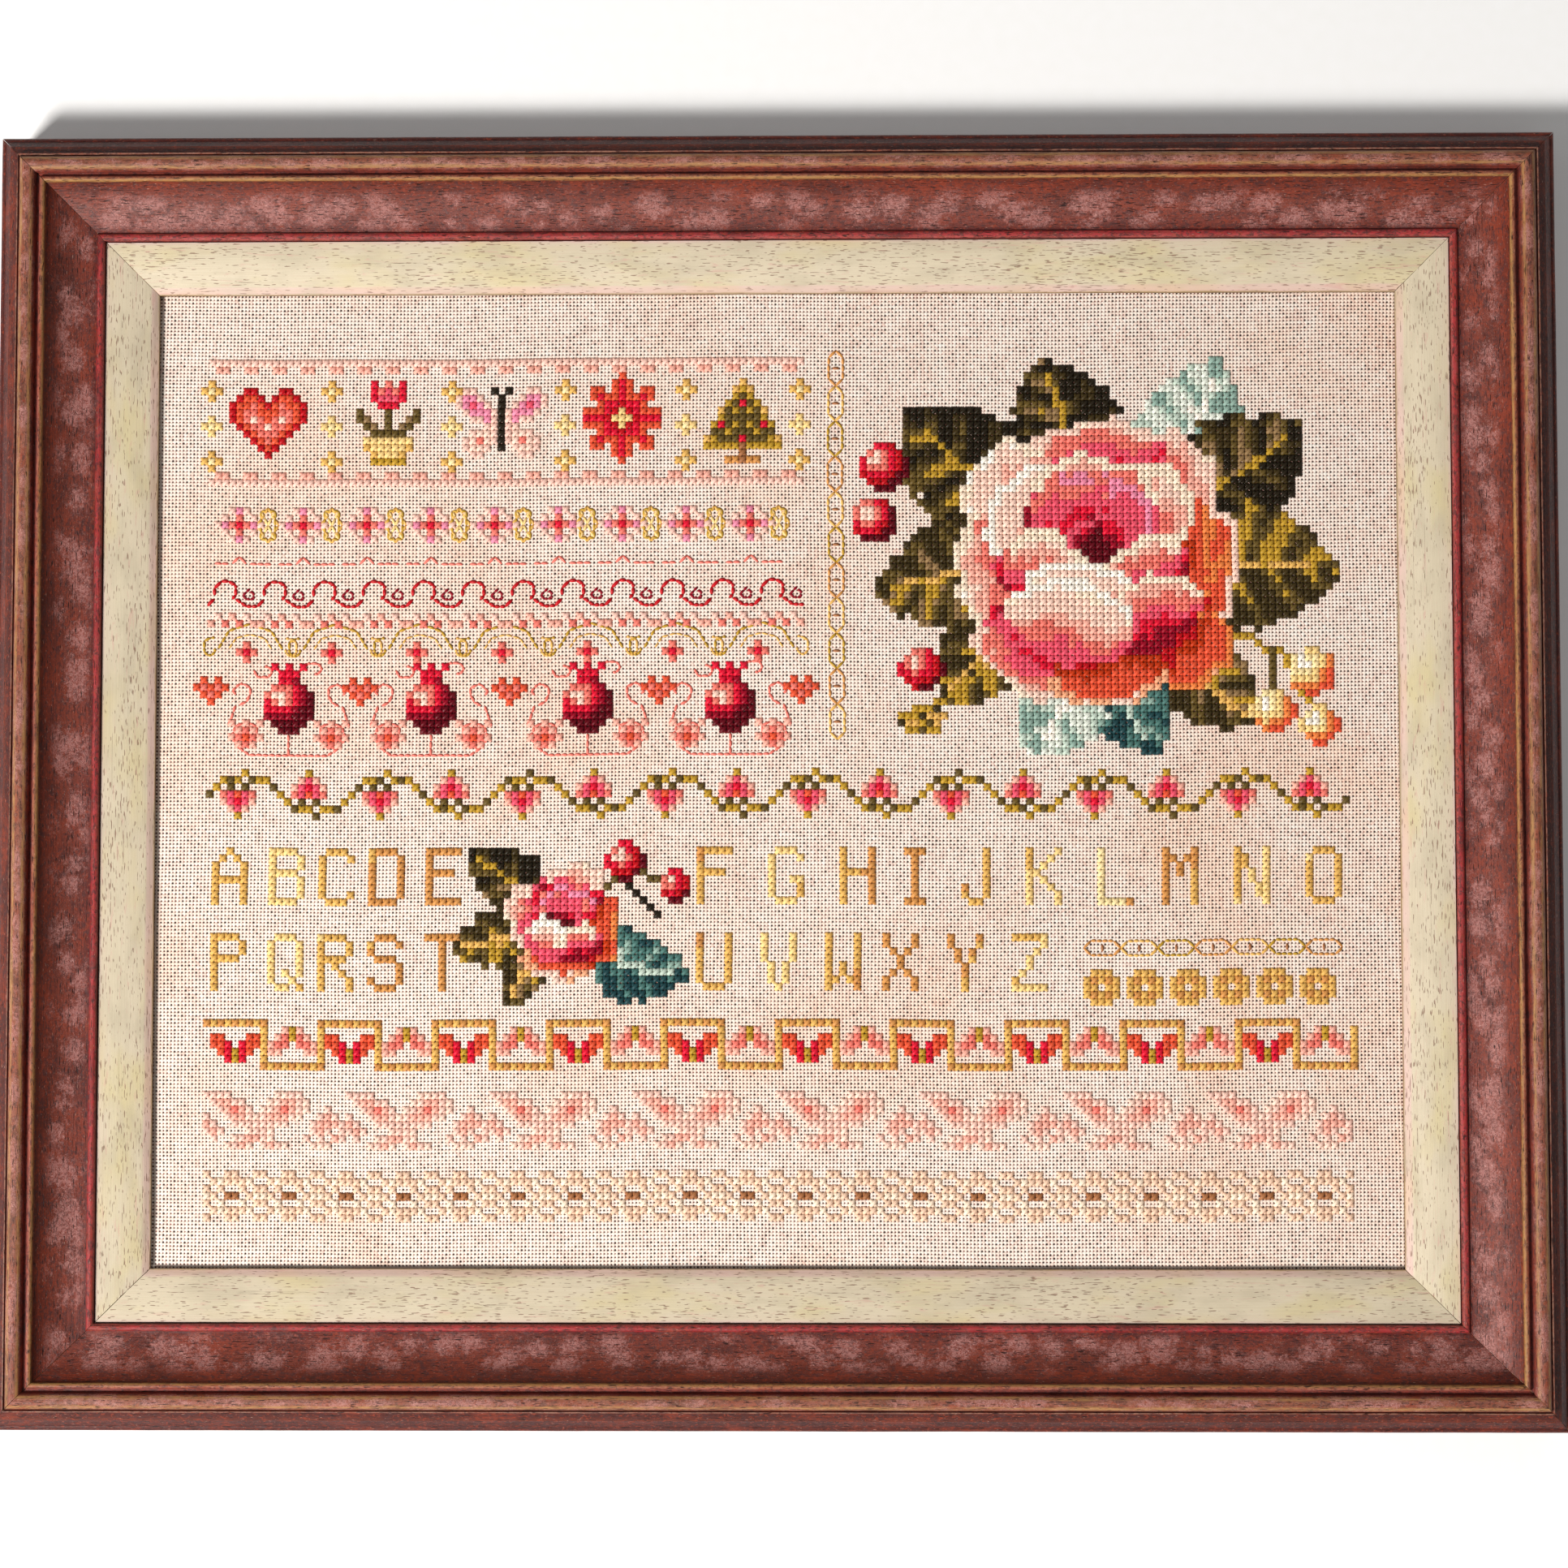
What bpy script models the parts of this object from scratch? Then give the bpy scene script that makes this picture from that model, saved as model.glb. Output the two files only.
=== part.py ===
"""Cross stitch sampler in a mitred wooden picture frame, lying face up on its back.

The frame is modelled in metres, +Z up. The origin is the centre of the back face, +X runs along the
sampler's long side and +Y points to its top edge, so the stitched face looks along +Z.

Every rail is one moulding section, drawn as points (out, up): how far the point lies outside the
window's edge, and how far above the back plane. The section runs the length of its side and ends in a
mitre at each corner.
"""

import math

import bmesh
import bpy

MM = 0.001

# The cloth is an evenweave of 28 threads to the inch, and the window is counted in its threads.
THREAD_PITCH = 25.4 * MM / 28
WINDOW_THREADS_WIDE = 348
WINDOW_THREADS_HIGH = 273
HALF_WIDTH = WINDOW_THREADS_WIDE * THREAD_PITCH / 2
HALF_HEIGHT = WINDOW_THREADS_HIGH * THREAD_PITCH / 2

# Clearance between pieces that touch on the real object.
GAP = 0.3 * MM

# Heights above the back plane.
BOARD_BOTTOM = 3.7 * MM
BOARD_THICKNESS = 4.0 * MM
CLOTH_THICKNESS = 1.0 * MM
CLOTH_BOTTOM = BOARD_BOTTOM + BOARD_THICKNESS + GAP
LINER_BOTTOM = CLOTH_BOTTOM + CLOTH_THICKNESS + GAP
LIP_UNDERSIDE = LINER_BOTTOM + 3.7 * MM

# The cream liner, measured outwards from the window's edge.
LINER_SIGHT_TOP = LINER_BOTTOM + 1.3 * MM
LINER_BEVEL_OUT = 1.7 * MM
LINER_BEVEL_TOP = LINER_BOTTOM + 2.2 * MM
LINER_FLANGE_TOP = LIP_UNDERSIDE - GAP
LINER_EDGE_TOP = LINER_BOTTOM + 4.4 * MM
LINER_SHOWN = 12.95 * MM
LINER_CROWN = 0.35 * MM
REBATE_WALL = 20.2 * MM
LINER_OUTER = REBATE_WALL - GAP

# The red moulding, measured outwards from the window's edge.
BEAD_CENTRE = 14.25 * MM
BEAD_HALF_WIDTH = 1.0 * MM
BEAD_SHOULDER = 14.2 * MM
BEAD_RISE = 0.8 * MM
SCOOP_START = (15.4 * MM, 14.2 * MM)
SCOOP_END = (26.85 * MM, 20.5 * MM)
SCOOP_TURN = math.radians(40)
RIB_CENTRE = 27.7 * MM
RIB_HALF_WIDTH = 0.8 * MM
RIB_BASE = 20.6 * MM
RIB_RISE = 1.0 * MM
GROOVE_FLOOR = 20.2 * MM
TORUS_CENTRE = 31.5 * MM
TORUS_HALF_WIDTH = 2.15 * MM
TORUS_BASE = 20.5 * MM
TORUS_RISE = 2.1 * MM
ARRIS_WIDTH = 0.3 * MM
ARRIS_OUT = 34.25 * MM
ARRIS_TOP = 21.1 * MM
ARRIS_DROP = 1.3 * MM
SIDE_STEP_OUT = 36.6 * MM
SIDE_STEP_TOP = 18.4 * MM
SIDE_STEP_DROP = 0.5 * MM
OUTER_EDGE = 39.7 * MM
OUTER_EDGE_TOP = 15.8 * MM
OUTER_CORNER_RADIUS = 1.2 * MM
BACK_CHAMFER = 0.6 * MM

# Colours as linear RGB.
RED_STAIN = (0.155, 0.038, 0.026, 1.0)
CREAM_PAINT = (0.66, 0.57, 0.40, 1.0)
LINEN = (0.80, 0.63, 0.53, 1.0)
BROWN_BOARD = (0.23, 0.15, 0.09, 1.0)


def clear_scene():
    """Empties the scene that Blender starts with."""
    for obj in list(bpy.data.objects):
        bpy.data.objects.remove(obj, do_unlink=True)


def material(name, colour, roughness):
    """A plain Principled finish."""
    made = bpy.data.materials.new(name)
    made.use_nodes = True
    shader = made.node_tree.nodes["Principled BSDF"]
    shader.inputs["Base Color"].default_value = colour
    shader.inputs["Roughness"].default_value = roughness
    shader.inputs["Metallic"].default_value = 0.0
    made.diffuse_color = colour
    return made


def half_round(centre, half_width, base, rise, steps):
    """Points over a half-round moulding, from its inner foot to its outer foot."""
    points = []
    for i in range(steps + 1):
        angle = math.pi * (1 - i / steps)
        points.append((centre + half_width * math.cos(angle), base + rise * math.sin(angle)))
    return points


def hollow(start, end, turn, steps):
    """Points along a concave arc from start to end whose tangent turns upwards by the angle turn."""
    along, up = end[0] - start[0], end[1] - start[1]
    chord = math.hypot(along, up)
    radius = chord / (2 * math.sin(turn / 2))
    first_tangent = math.atan2(up, along) - turn / 2
    centre = (
        start[0] - radius * math.sin(first_tangent),
        start[1] + radius * math.cos(first_tangent),
    )
    points = []
    for i in range(steps + 1):
        angle = first_tangent + turn * i / steps
        points.append((centre[0] + radius * math.sin(angle), centre[1] - radius * math.cos(angle)))
    return points


def rounded_corner(corner, radius, steps):
    """A quarter round from a level top to an upright side, at an outer corner."""
    centre = (corner[0] - radius, corner[1] - radius)
    points = []
    for i in range(steps + 1):
        angle = math.pi / 2 * (1 - i / steps)
        points.append((centre[0] + radius * math.cos(angle), centre[1] + radius * math.sin(angle)))
    return points


def rail_section():
    """The red moulding: back, rebate, lip with its bead, scoop, rib, torus, arris and stepped side."""
    lip_inner = BEAD_CENTRE - BEAD_HALF_WIDTH
    return [
        (OUTER_EDGE, BACK_CHAMFER),
        (OUTER_EDGE - BACK_CHAMFER, 0.0),
        (REBATE_WALL, 0.0),
        (REBATE_WALL, LIP_UNDERSIDE),
        (lip_inner, LIP_UNDERSIDE),
        *half_round(BEAD_CENTRE, BEAD_HALF_WIDTH, BEAD_SHOULDER, BEAD_RISE, 8),
        *hollow(SCOOP_START, SCOOP_END, SCOOP_TURN, 12),
        *half_round(RIB_CENTRE, RIB_HALF_WIDTH, RIB_BASE, RIB_RISE, 6),
        (RIB_CENTRE + RIB_HALF_WIDTH, GROOVE_FLOOR),
        (TORUS_CENTRE - TORUS_HALF_WIDTH, GROOVE_FLOOR),
        *half_round(TORUS_CENTRE, TORUS_HALF_WIDTH, TORUS_BASE, TORUS_RISE, 10),
        (ARRIS_OUT - ARRIS_WIDTH, ARRIS_TOP),
        (ARRIS_OUT, ARRIS_TOP),
        (ARRIS_OUT, ARRIS_TOP - ARRIS_DROP),
        (SIDE_STEP_OUT, SIDE_STEP_TOP),
        (SIDE_STEP_OUT, SIDE_STEP_TOP - SIDE_STEP_DROP),
        *rounded_corner((OUTER_EDGE, OUTER_EDGE_TOP), OUTER_CORNER_RADIUS, 4),
    ]


def liner_section():
    """The cream liner: sight edge, bevel, crowned face, and a flat flange under the lip."""
    crown = []
    steps = 6
    for i in range(steps + 1):
        share = i / steps
        out = LINER_BEVEL_OUT + (LINER_SHOWN - LINER_BEVEL_OUT) * share
        straight = LINER_BEVEL_TOP + (LINER_EDGE_TOP - LINER_BEVEL_TOP) * share
        crown.append((out, straight + LINER_CROWN * math.sin(math.pi * share)))
    return [
        (LINER_OUTER, LINER_BOTTOM),
        (0.0, LINER_BOTTOM),
        (0.0, LINER_SIGHT_TOP),
        *crown,
        (LINER_SHOWN, LINER_FLANGE_TOP),
        (LINER_OUTER, LINER_FLANGE_TOP),
    ]


def place(side, out, along, up):
    """A point of a rail on one side of the window, along the way that side runs."""
    if side == "bottom":
        return (along, -(HALF_HEIGHT + out), up)
    if side == "top":
        return (-along, HALF_HEIGHT + out, up)
    if side == "left":
        return (-(HALF_WIDTH + out), -along, up)
    return (HALF_WIDTH + out, along, up)


def mitred_rail(name, side, section, finish):
    """A rail whose section runs the window's side and is cut at 45 degrees at both ends."""
    half_length = HALF_WIDTH if side in ("top", "bottom") else HALF_HEIGHT
    set_back = GAP / math.sqrt(2)
    mesh = bmesh.new()
    rings = []
    for end in (-1, 1):
        ring = []
        for out, up in section:
            reach = half_length + out - set_back
            ring.append(mesh.verts.new(place(side, out, end * reach, up)))
        rings.append(ring)
    count = len(section)
    for i in range(count):
        after = (i + 1) % count
        mesh.faces.new((rings[0][i], rings[1][i], rings[1][after], rings[0][after]))
    mesh.faces.new(rings[0])
    mesh.faces.new(list(reversed(rings[1])))
    bmesh.ops.recalc_face_normals(mesh, faces=mesh.faces[:])
    return finished(name, mesh, finish)


def flat_piece(name, half_width, half_height, bottom, thickness, finish):
    """A sheet or board that lies level under the liner."""
    mesh = bmesh.new()
    bmesh.ops.create_cube(mesh, size=1.0)
    bmesh.ops.scale(mesh, vec=(2 * half_width, 2 * half_height, thickness), verts=mesh.verts[:])
    bmesh.ops.translate(mesh, vec=(0.0, 0.0, bottom + thickness / 2), verts=mesh.verts[:])
    return finished(name, mesh, finish)


def finished(name, mesh, finish):
    """The object made from a bmesh, with smooth rounds and sharp edges."""
    data = bpy.data.meshes.new(name)
    mesh.to_mesh(data)
    mesh.free()
    data.materials.append(finish)
    data.shade_smooth()
    data.set_sharp_from_angle(angle=math.radians(35))
    obj = bpy.data.objects.new(name, data)
    bpy.context.scene.collection.objects.link(obj)
    return obj


def build():
    """The whole framed sampler."""
    clear_scene()
    red_wood = material("red_stained_wood", RED_STAIN, 0.45)
    cream_wood = material("cream_painted_wood", CREAM_PAINT, 0.6)
    linen = material("evenweave_linen", LINEN, 0.95)
    board = material("backing_board", BROWN_BOARD, 0.9)
    for side in ("bottom", "right", "top", "left"):
        mitred_rail("rail_" + side, side, rail_section(), red_wood)
        mitred_rail("liner_" + side, side, liner_section(), cream_wood)
    margin = REBATE_WALL - GAP
    flat_piece(
        "linen_cloth",
        HALF_WIDTH + margin,
        HALF_HEIGHT + margin,
        CLOTH_BOTTOM,
        CLOTH_THICKNESS,
        linen,
    )
    flat_piece(
        "backing_board",
        HALF_WIDTH + margin,
        HALF_HEIGHT + margin,
        BOARD_BOTTOM,
        BOARD_THICKNESS,
        board,
    )


build()
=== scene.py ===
"""Dresses the framed cross stitch sampler: its moulding, liner, linen, counted stitching and board."""
import logging
import math
from dataclasses import dataclass, field
from enum import Enum

import bpy
import numpy as np
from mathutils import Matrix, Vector, noise


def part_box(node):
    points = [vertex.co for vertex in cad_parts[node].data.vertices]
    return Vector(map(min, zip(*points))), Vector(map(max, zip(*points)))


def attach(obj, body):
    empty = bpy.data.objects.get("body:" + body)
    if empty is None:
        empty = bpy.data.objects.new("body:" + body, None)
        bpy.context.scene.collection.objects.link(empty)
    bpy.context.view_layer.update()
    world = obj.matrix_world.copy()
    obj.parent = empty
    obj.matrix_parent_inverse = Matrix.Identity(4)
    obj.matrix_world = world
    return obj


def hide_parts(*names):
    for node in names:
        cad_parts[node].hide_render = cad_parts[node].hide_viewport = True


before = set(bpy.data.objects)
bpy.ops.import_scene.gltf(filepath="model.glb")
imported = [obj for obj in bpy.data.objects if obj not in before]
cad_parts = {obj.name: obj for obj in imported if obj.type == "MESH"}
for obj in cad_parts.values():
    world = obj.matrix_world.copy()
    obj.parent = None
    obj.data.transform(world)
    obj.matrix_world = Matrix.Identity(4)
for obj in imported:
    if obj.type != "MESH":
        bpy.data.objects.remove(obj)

MM = 0.001
THREADS_PER_INCH = 28
THREAD = 25.4 / THREADS_PER_INCH
CELL = 2 * THREAD
WINDOW_THREADS = (348, 273)
HALF_WIDTH = WINDOW_THREADS[0] * THREAD / 2
HALF_HEIGHT = WINDOW_THREADS[1] * THREAD / 2
LOG = logging.getLogger("sampler")

Colour = tuple[float, float, float]
Point = tuple[float, float]


def linear(shade: tuple) -> tuple:
    """Turns a shade of 0 to 255 as a screen shows it into the linear colour a shader takes.

    Args:
        shade: red, green and blue.

    Returns:
        Red, green, blue and a full alpha, from 0 to 1.
    """
    parts = [value / 255 for value in shade]
    return tuple(p / 12.92 if p <= 0.04045 else ((p + 0.055) / 1.055) ** 2.4 for p in parts) + (1.0,)


def scatter(first: float, second: float) -> float:
    """Gives a repeatable value from -1 to 1 for a pair of numbers."""
    value = math.sin(first * 12.9898 + second * 78.233) * 43758.5453
    return 2 * (value - math.floor(value)) - 1


class NodeBench:
    """The node tree of one finish, with short ways to lay its nodes.

    Args:
        name: the material's name.
    """

    def __init__(self, name: str) -> None:
        """Starts the material with its plain shader."""
        self.material = bpy.data.materials.new(name)
        self.material.use_nodes = True
        self.tree = self.material.node_tree
        self.shader = self.tree.nodes["Principled BSDF"]

    def add(self, kind: str, inputs: dict, output: int = 0, **settings: object) -> bpy.types.NodeSocket:
        """Lays one node.

        Args:
            kind: the node's type, without the word ShaderNode.
            inputs: a value or a socket for each input, by name or index.
            output: which output to give back.
            settings: the node's own options.

        Returns:
            The socket of that output.
        """
        node = self.tree.nodes.new("ShaderNode" + kind)
        for key, value in settings.items():
            setattr(node, key, value)
        for key, value in inputs.items():
            if isinstance(value, bpy.types.NodeSocket):
                self.tree.links.new(value, node.inputs[key])
            else:
                node.inputs[key].default_value = value
        return node.outputs[output]

    def math(self, operation: str, first: object, second: object = 0.0,
             third: object = 0.0) -> bpy.types.NodeSocket:
        """Lays a Math node on up to three values."""
        return self.add("Math", {0: first, 1: second, 2: third}, operation=operation)

    def noise(self, vector: object, scale: float, detail: float = 2.0, roughness: float = 0.5,
              distortion: float = 0.0) -> bpy.types.NodeSocket:
        """Lays a Noise texture and gives its value."""
        inputs = {"Vector": vector, "Scale": scale, "Detail": detail, "Roughness": roughness,
                  "Distortion": distortion}
        return self.add("TexNoise", inputs)

    def remap(self, value: object, low: float, high: float, to_low: float = 0.0,
              to_high: float = 1.0) -> bpy.types.NodeSocket:
        """Lays a Map Range node that clamps."""
        return self.add("MapRange", {0: value, 1: low, 2: high, 3: to_low, 4: to_high})

    def ramp(self, factor: object, stops: list, interpolation: str = "LINEAR") -> bpy.types.NodeSocket:
        """Lays a colour ramp.

        Args:
            factor: what the ramp reads.
            stops: a position and a shade of 0 to 255 for each stop, in order.
            interpolation: how the ramp goes from stop to stop.

        Returns:
            The ramp's colour.
        """
        output = self.add("ValToRGB", {"Fac": factor})
        band = output.node.color_ramp
        band.interpolation = interpolation
        band.elements.remove(band.elements[1])
        for i, (position, shade) in enumerate(stops):
            element = band.elements[0] if i == 0 else band.elements.new(position)
            element.position = position
            element.color = linear(shade)
        return output

    def mix(self, factor: object, first: object, second: object, blend: str = "MIX") -> bpy.types.NodeSocket:
        """Lays a colour mix of two colours or shades of 0 to 255."""
        first, second = (linear(c) if isinstance(c, tuple) else c for c in (first, second))
        return self.add("Mix", {0: factor, 6: first, 7: second}, 2, data_type="RGBA", blend_type=blend)

    def stretched(self, vector: object, x: float, y: float, z: float = 1.0) -> bpy.types.NodeSocket:
        """Lays a Mapping node that stretches a vector."""
        return self.add("Mapping", {"Vector": vector, "Scale": (x, y, z)})

    def bump(self, height: object, distance: float, strength: float = 1.0,
             under: object = None) -> bpy.types.NodeSocket:
        """Lays a Bump node, over another one's normal where one is given."""
        inputs = {"Height": height, "Distance": distance, "Strength": strength}
        if under is not None:
            inputs["Normal"] = under
        return self.add("Bump", inputs)

    def finish(self, **inputs: object) -> bpy.types.Material:
        """Sets the shader's sockets, each named with underscores for spaces, and gives the material."""
        for key, value in inputs.items():
            socket = self.shader.inputs[key.replace("_", " ")]
            if isinstance(value, bpy.types.NodeSocket):
                self.tree.links.new(value, socket)
            else:
                socket.default_value = value
        return self.material


class Side(Enum):
    """The four sides of the frame, as quarter turns from the bottom one."""

    BOTTOM = 0
    RIGHT = 1
    TOP = 2
    LEFT = 3

    @property
    def word(self) -> str:
        """The side's name in lower case, as the nodes have it."""
        return self.name.lower()

    @property
    def reach(self) -> float:
        """How far the window's edge on this side lies from the centre, in millimetres."""
        return HALF_WIDTH if self in (Side.LEFT, Side.RIGHT) else HALF_HEIGHT

    @property
    def half_length(self) -> float:
        """Half the length of the window's edge on this side, in millimetres."""
        return HALF_HEIGHT if self in (Side.LEFT, Side.RIGHT) else HALF_WIDTH

    def place(self, along: np.ndarray, out: np.ndarray, up: np.ndarray) -> np.ndarray:
        """Puts points of this side into the object's frame.

        Args:
            along: distance along the side from its middle, in millimetres.
            out: distance out from the window's edge.
            up: height over the back plane.

        Returns:
            The points in metres, one to a row.
        """
        x, y = along, -(self.reach + out)
        for _ in range(self.value):
            x, y = -y, x
        return np.stack([x, y, up], axis=-1) * MM

    def read(self, points: np.ndarray) -> tuple:
        """Turns points of the object's frame back into along, out and up, in millimetres."""
        x, y = points[:, 0] / MM, points[:, 1] / MM
        for _ in range(self.value):
            x, y = y, -x
        return x, -y - self.reach, points[:, 2] / MM


def half_round(centre: float, half_width: float, base: float, rise: float, steps: int) -> list:
    """Gives the points of a rounded bead, from its inner foot to its outer one."""
    angles = [math.pi * (1 - i / steps) for i in range(steps + 1)]
    return [(centre + half_width * math.cos(a), base + rise * math.sin(a)) for a in angles]


def hollow(start: Point, end: Point, turn: float, steps: int) -> list:
    """Gives the points of a cove between two points.

    Args:
        start: the inner end.
        end: the outer end.
        turn: how many degrees the cove turns through.
        steps: into how many chords it is cut.

    Returns:
        The points, both ends among them.
    """
    across, up = end[0] - start[0], end[1] - start[1]
    radius = math.hypot(across, up) / (2 * math.sin(math.radians(turn) / 2))
    first = math.atan2(up, across) - math.radians(turn) / 2
    centre = (start[0] - radius * math.sin(first), start[1] + radius * math.cos(first))
    angles = [first + math.radians(turn) * i / steps for i in range(steps + 1)]
    return [(centre[0] + radius * math.sin(a), centre[1] - radius * math.cos(a)) for a in angles]


def rounded_corner(corner: Point, radius: float, steps: int) -> list:
    """Gives the points of an outer top corner rounded to a radius."""
    angles = [math.radians(90 * (1 - i / steps)) for i in range(steps + 1)]
    return [(corner[0] + radius * (math.cos(a) - 1), corner[1] + radius * (math.sin(a) - 1)) for a in angles]


def girths(section: list) -> np.ndarray:
    """Gives how far along a section each of its points lies, in millimetres."""
    steps = np.linalg.norm(np.diff(np.array(section), axis=0), axis=1)
    return np.concatenate([[0.0], np.cumsum(steps)])


def clear_selection() -> None:
    """Leaves nothing selected."""
    for thing in bpy.context.selected_objects:
        thing.select_set(False)


def take_in_hand(piece: bpy.types.Object) -> None:
    """Selects one piece alone and makes it the active one."""
    clear_selection()
    piece.select_set(True)
    bpy.context.view_layer.objects.active = piece


def select_edges(piece: bpy.types.Object, chosen: list) -> None:
    """Goes into edit mode with only the chosen edges of a piece selected, given as true or false for each."""
    bpy.ops.object.mode_set(mode="EDIT")
    bpy.ops.mesh.select_mode(type="EDGE")
    bpy.ops.mesh.select_all(action="DESELECT")
    bpy.ops.object.mode_set(mode="OBJECT")
    piece.data.edges.foreach_set("select", chosen)
    bpy.ops.object.mode_set(mode="EDIT")


def apply_modifiers(piece: bpy.types.Object) -> None:
    """Applies every modifier of a piece, in order."""
    take_in_hand(piece)
    for modifier in list(piece.modifiers):
        bpy.ops.object.modifier_apply(modifier=modifier.name)


def hand_over(piece: bpy.types.Object, slot: str, *nodes: str) -> None:
    """Hangs a finished piece on the root and hides the solids it stands for."""
    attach(piece, "root")
    if nodes:
        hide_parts(*nodes)
    LOG.info("%s: %d faces", piece.name, len(piece.data.polygons))


@dataclass(frozen=True)
class StainedWood:
    """Brick red stain over open-pored wood, sponged with a mauve wash and rubbed with gold on its ridges.

    Args:
        bands: where along the section each shade lies, as a share of it.
        wash: how strong the mauve wash is along the section, in the same way.
        gold: how much gold is rubbed on along the section, in the same way.
        run_length: how long the section is all round, in millimetres.
    """

    bands: tuple
    wash: tuple
    gold: tuple
    run_length: float
    dust: tuple = (188, 128, 122)
    worm: tuple = (216, 160, 152)
    mottle: tuple = (74, 44, 44)
    rust: tuple = (146, 60, 38)
    soot: tuple = (74, 34, 28)
    pore: tuple = (30, 14, 12)
    rubbed: tuple = (184, 138, 84)

    def build(self) -> bpy.types.Material:
        """Lays the nodes over the piece's own Run map, in millimetres along it and round its section."""
        bench = NodeBench("stained_wood")
        run = bench.add("UVMap", {}, uv_map="Run")
        parts = bench.add("SeparateXYZ", {"Vector": run})
        girth = bench.math("DIVIDE", parts.node.outputs[1], self.run_length)
        wobble = bench.noise(bench.stretched(run, 0.08, 0.6), 1.0, 3)
        girth = bench.math("ADD", girth, bench.remap(wobble, 0.3, 0.7, -0.003, 0.003))
        colour = bench.ramp(girth, list(self.bands))
        wash = bench.ramp(girth, list(self.wash))
        gold = bench.ramp(girth, list(self.gold))

        tone = bench.noise(bench.stretched(run, 0.06, 0.16), 1.0, 4, 0.6)
        colour = bench.mix(bench.remap(tone, 0.50, 0.66, 0.0, 0.6), colour, self.rust)
        colour = bench.mix(bench.remap(tone, 0.36, 0.48, 0.6, 0.0), colour, self.soot)
        streak = bench.noise(bench.stretched(run, 0.05, 2.2), 1.0, 5, 0.75)
        colour = bench.mix(bench.remap(streak, 0.48, 0.70, 0.0, 0.65), colour, self.soot)
        speck = bench.noise(bench.stretched(run, 0.9, 1.3, 2.0), 1.0, 3, 0.7, 0.6)
        colour = bench.mix(bench.remap(speck, 0.54, 0.62, 0.0, 0.70), colour, self.rust)
        mottles = bench.noise(bench.stretched(run, 0.60, 1.05), 1.0, 5, 0.75, 0.9)
        colour = bench.mix(bench.remap(mottles, 0.50, 0.58, 0.0, 0.75), colour, self.mottle)

        cloud = bench.add("TexVoronoi", {"Vector": bench.stretched(run, 0.125, 0.155), "Scale": 1.0,
                                         "Smoothness": 0.25},
                          feature="SMOOTH_F1", voronoi_dimensions="2D")
        ragged = bench.noise(bench.stretched(run, 0.60, 0.70), 1.0, 5, 0.75)
        cloud = bench.math("ADD", cloud, bench.remap(ragged, 0.3, 0.7, -0.34, 0.34))
        drift = bench.noise(bench.stretched(run, 0.045, 0.09), 1.0, 2, 0.5)
        cloud = bench.math("ADD", cloud, bench.remap(drift, 0.35, 0.65, -0.22, 0.14))
        patch = bench.math("MULTIPLY", bench.remap(cloud, 0.16, 0.44, 1.0, 0.0), wash)
        sponge = bench.noise(bench.stretched(run, 0.95, 1.05), 1.0, 3, 0.65, 1.6)
        dusty = bench.math("MULTIPLY", patch, bench.remap(sponge, 0.43, 0.56, 0.16, 0.78))
        colour = bench.mix(dusty, colour, self.dust)
        loops = bench.noise(bench.stretched(run, 0.62, 0.72), 1.0, 2, 0.5, 1.8)
        ring = bench.math("PINGPONG", bench.math("MULTIPLY", loops, 6.0), 0.5)
        thin_wash = bench.math("MULTIPLY", wash, bench.remap(cloud, 0.4, 0.8, 0.35, 0.05))
        worm = bench.math("MULTIPLY", bench.remap(ring, 0.0, 0.13, 0.9, 0.0),
                          bench.math("MAXIMUM", patch, thin_wash))
        colour = bench.mix(worm, colour, self.worm)

        rub = bench.noise(bench.stretched(run, 0.28, 2.6), 1.0, 4, 0.75)
        worn = bench.noise(bench.stretched(run, 0.030, 0.3), 1.0, 3, 0.6)
        rub = bench.math("ADD", rub, bench.remap(worn, 0.35, 0.65, -0.10, 0.08))
        gilt = bench.math("MULTIPLY", gold, bench.remap(rub, 0.36, 0.58, 0.1, 1.0))
        colour = bench.mix(gilt, colour, self.rubbed)
        pores = bench.noise(bench.stretched(run, 0.36, 3.2), 1.0, 1, 0.5)
        few = bench.noise(bench.stretched(run, 0.05, 0.25), 1.0, 2)
        pore = bench.remap(bench.math("ADD", pores, bench.remap(few, 0.3, 0.7, -0.03, 0.04)), 0.655, 0.69)
        colour = bench.mix(bench.math("MULTIPLY", pore, 0.85), colour, self.pore)
        nicks = bench.noise(bench.stretched(run, 0.75, 5.5, 3.0), 1.0, 1, 0.5)
        colour = bench.mix(bench.remap(nicks, 0.71, 0.75, 0.0, 0.6), colour, (214, 170, 150))

        relief = bench.math("SUBTRACT", bench.math("MULTIPLY", worm, 0.5), pore)
        relief = bench.math("ADD", relief, bench.math("MULTIPLY", streak, 0.9))
        relief = bench.math("ADD", relief, bench.math("MULTIPLY", sponge, 0.35))
        rough = bench.remap(sponge, 0.35, 0.7, 0.40, 0.58)
        return bench.finish(Base_Color=colour, Roughness=rough, Normal=bench.bump(relief, 0.15 * MM, 0.8),
                            Specular_IOR_Level=0.28, Coat_Weight=0.04, Coat_Roughness=0.3)


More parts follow.
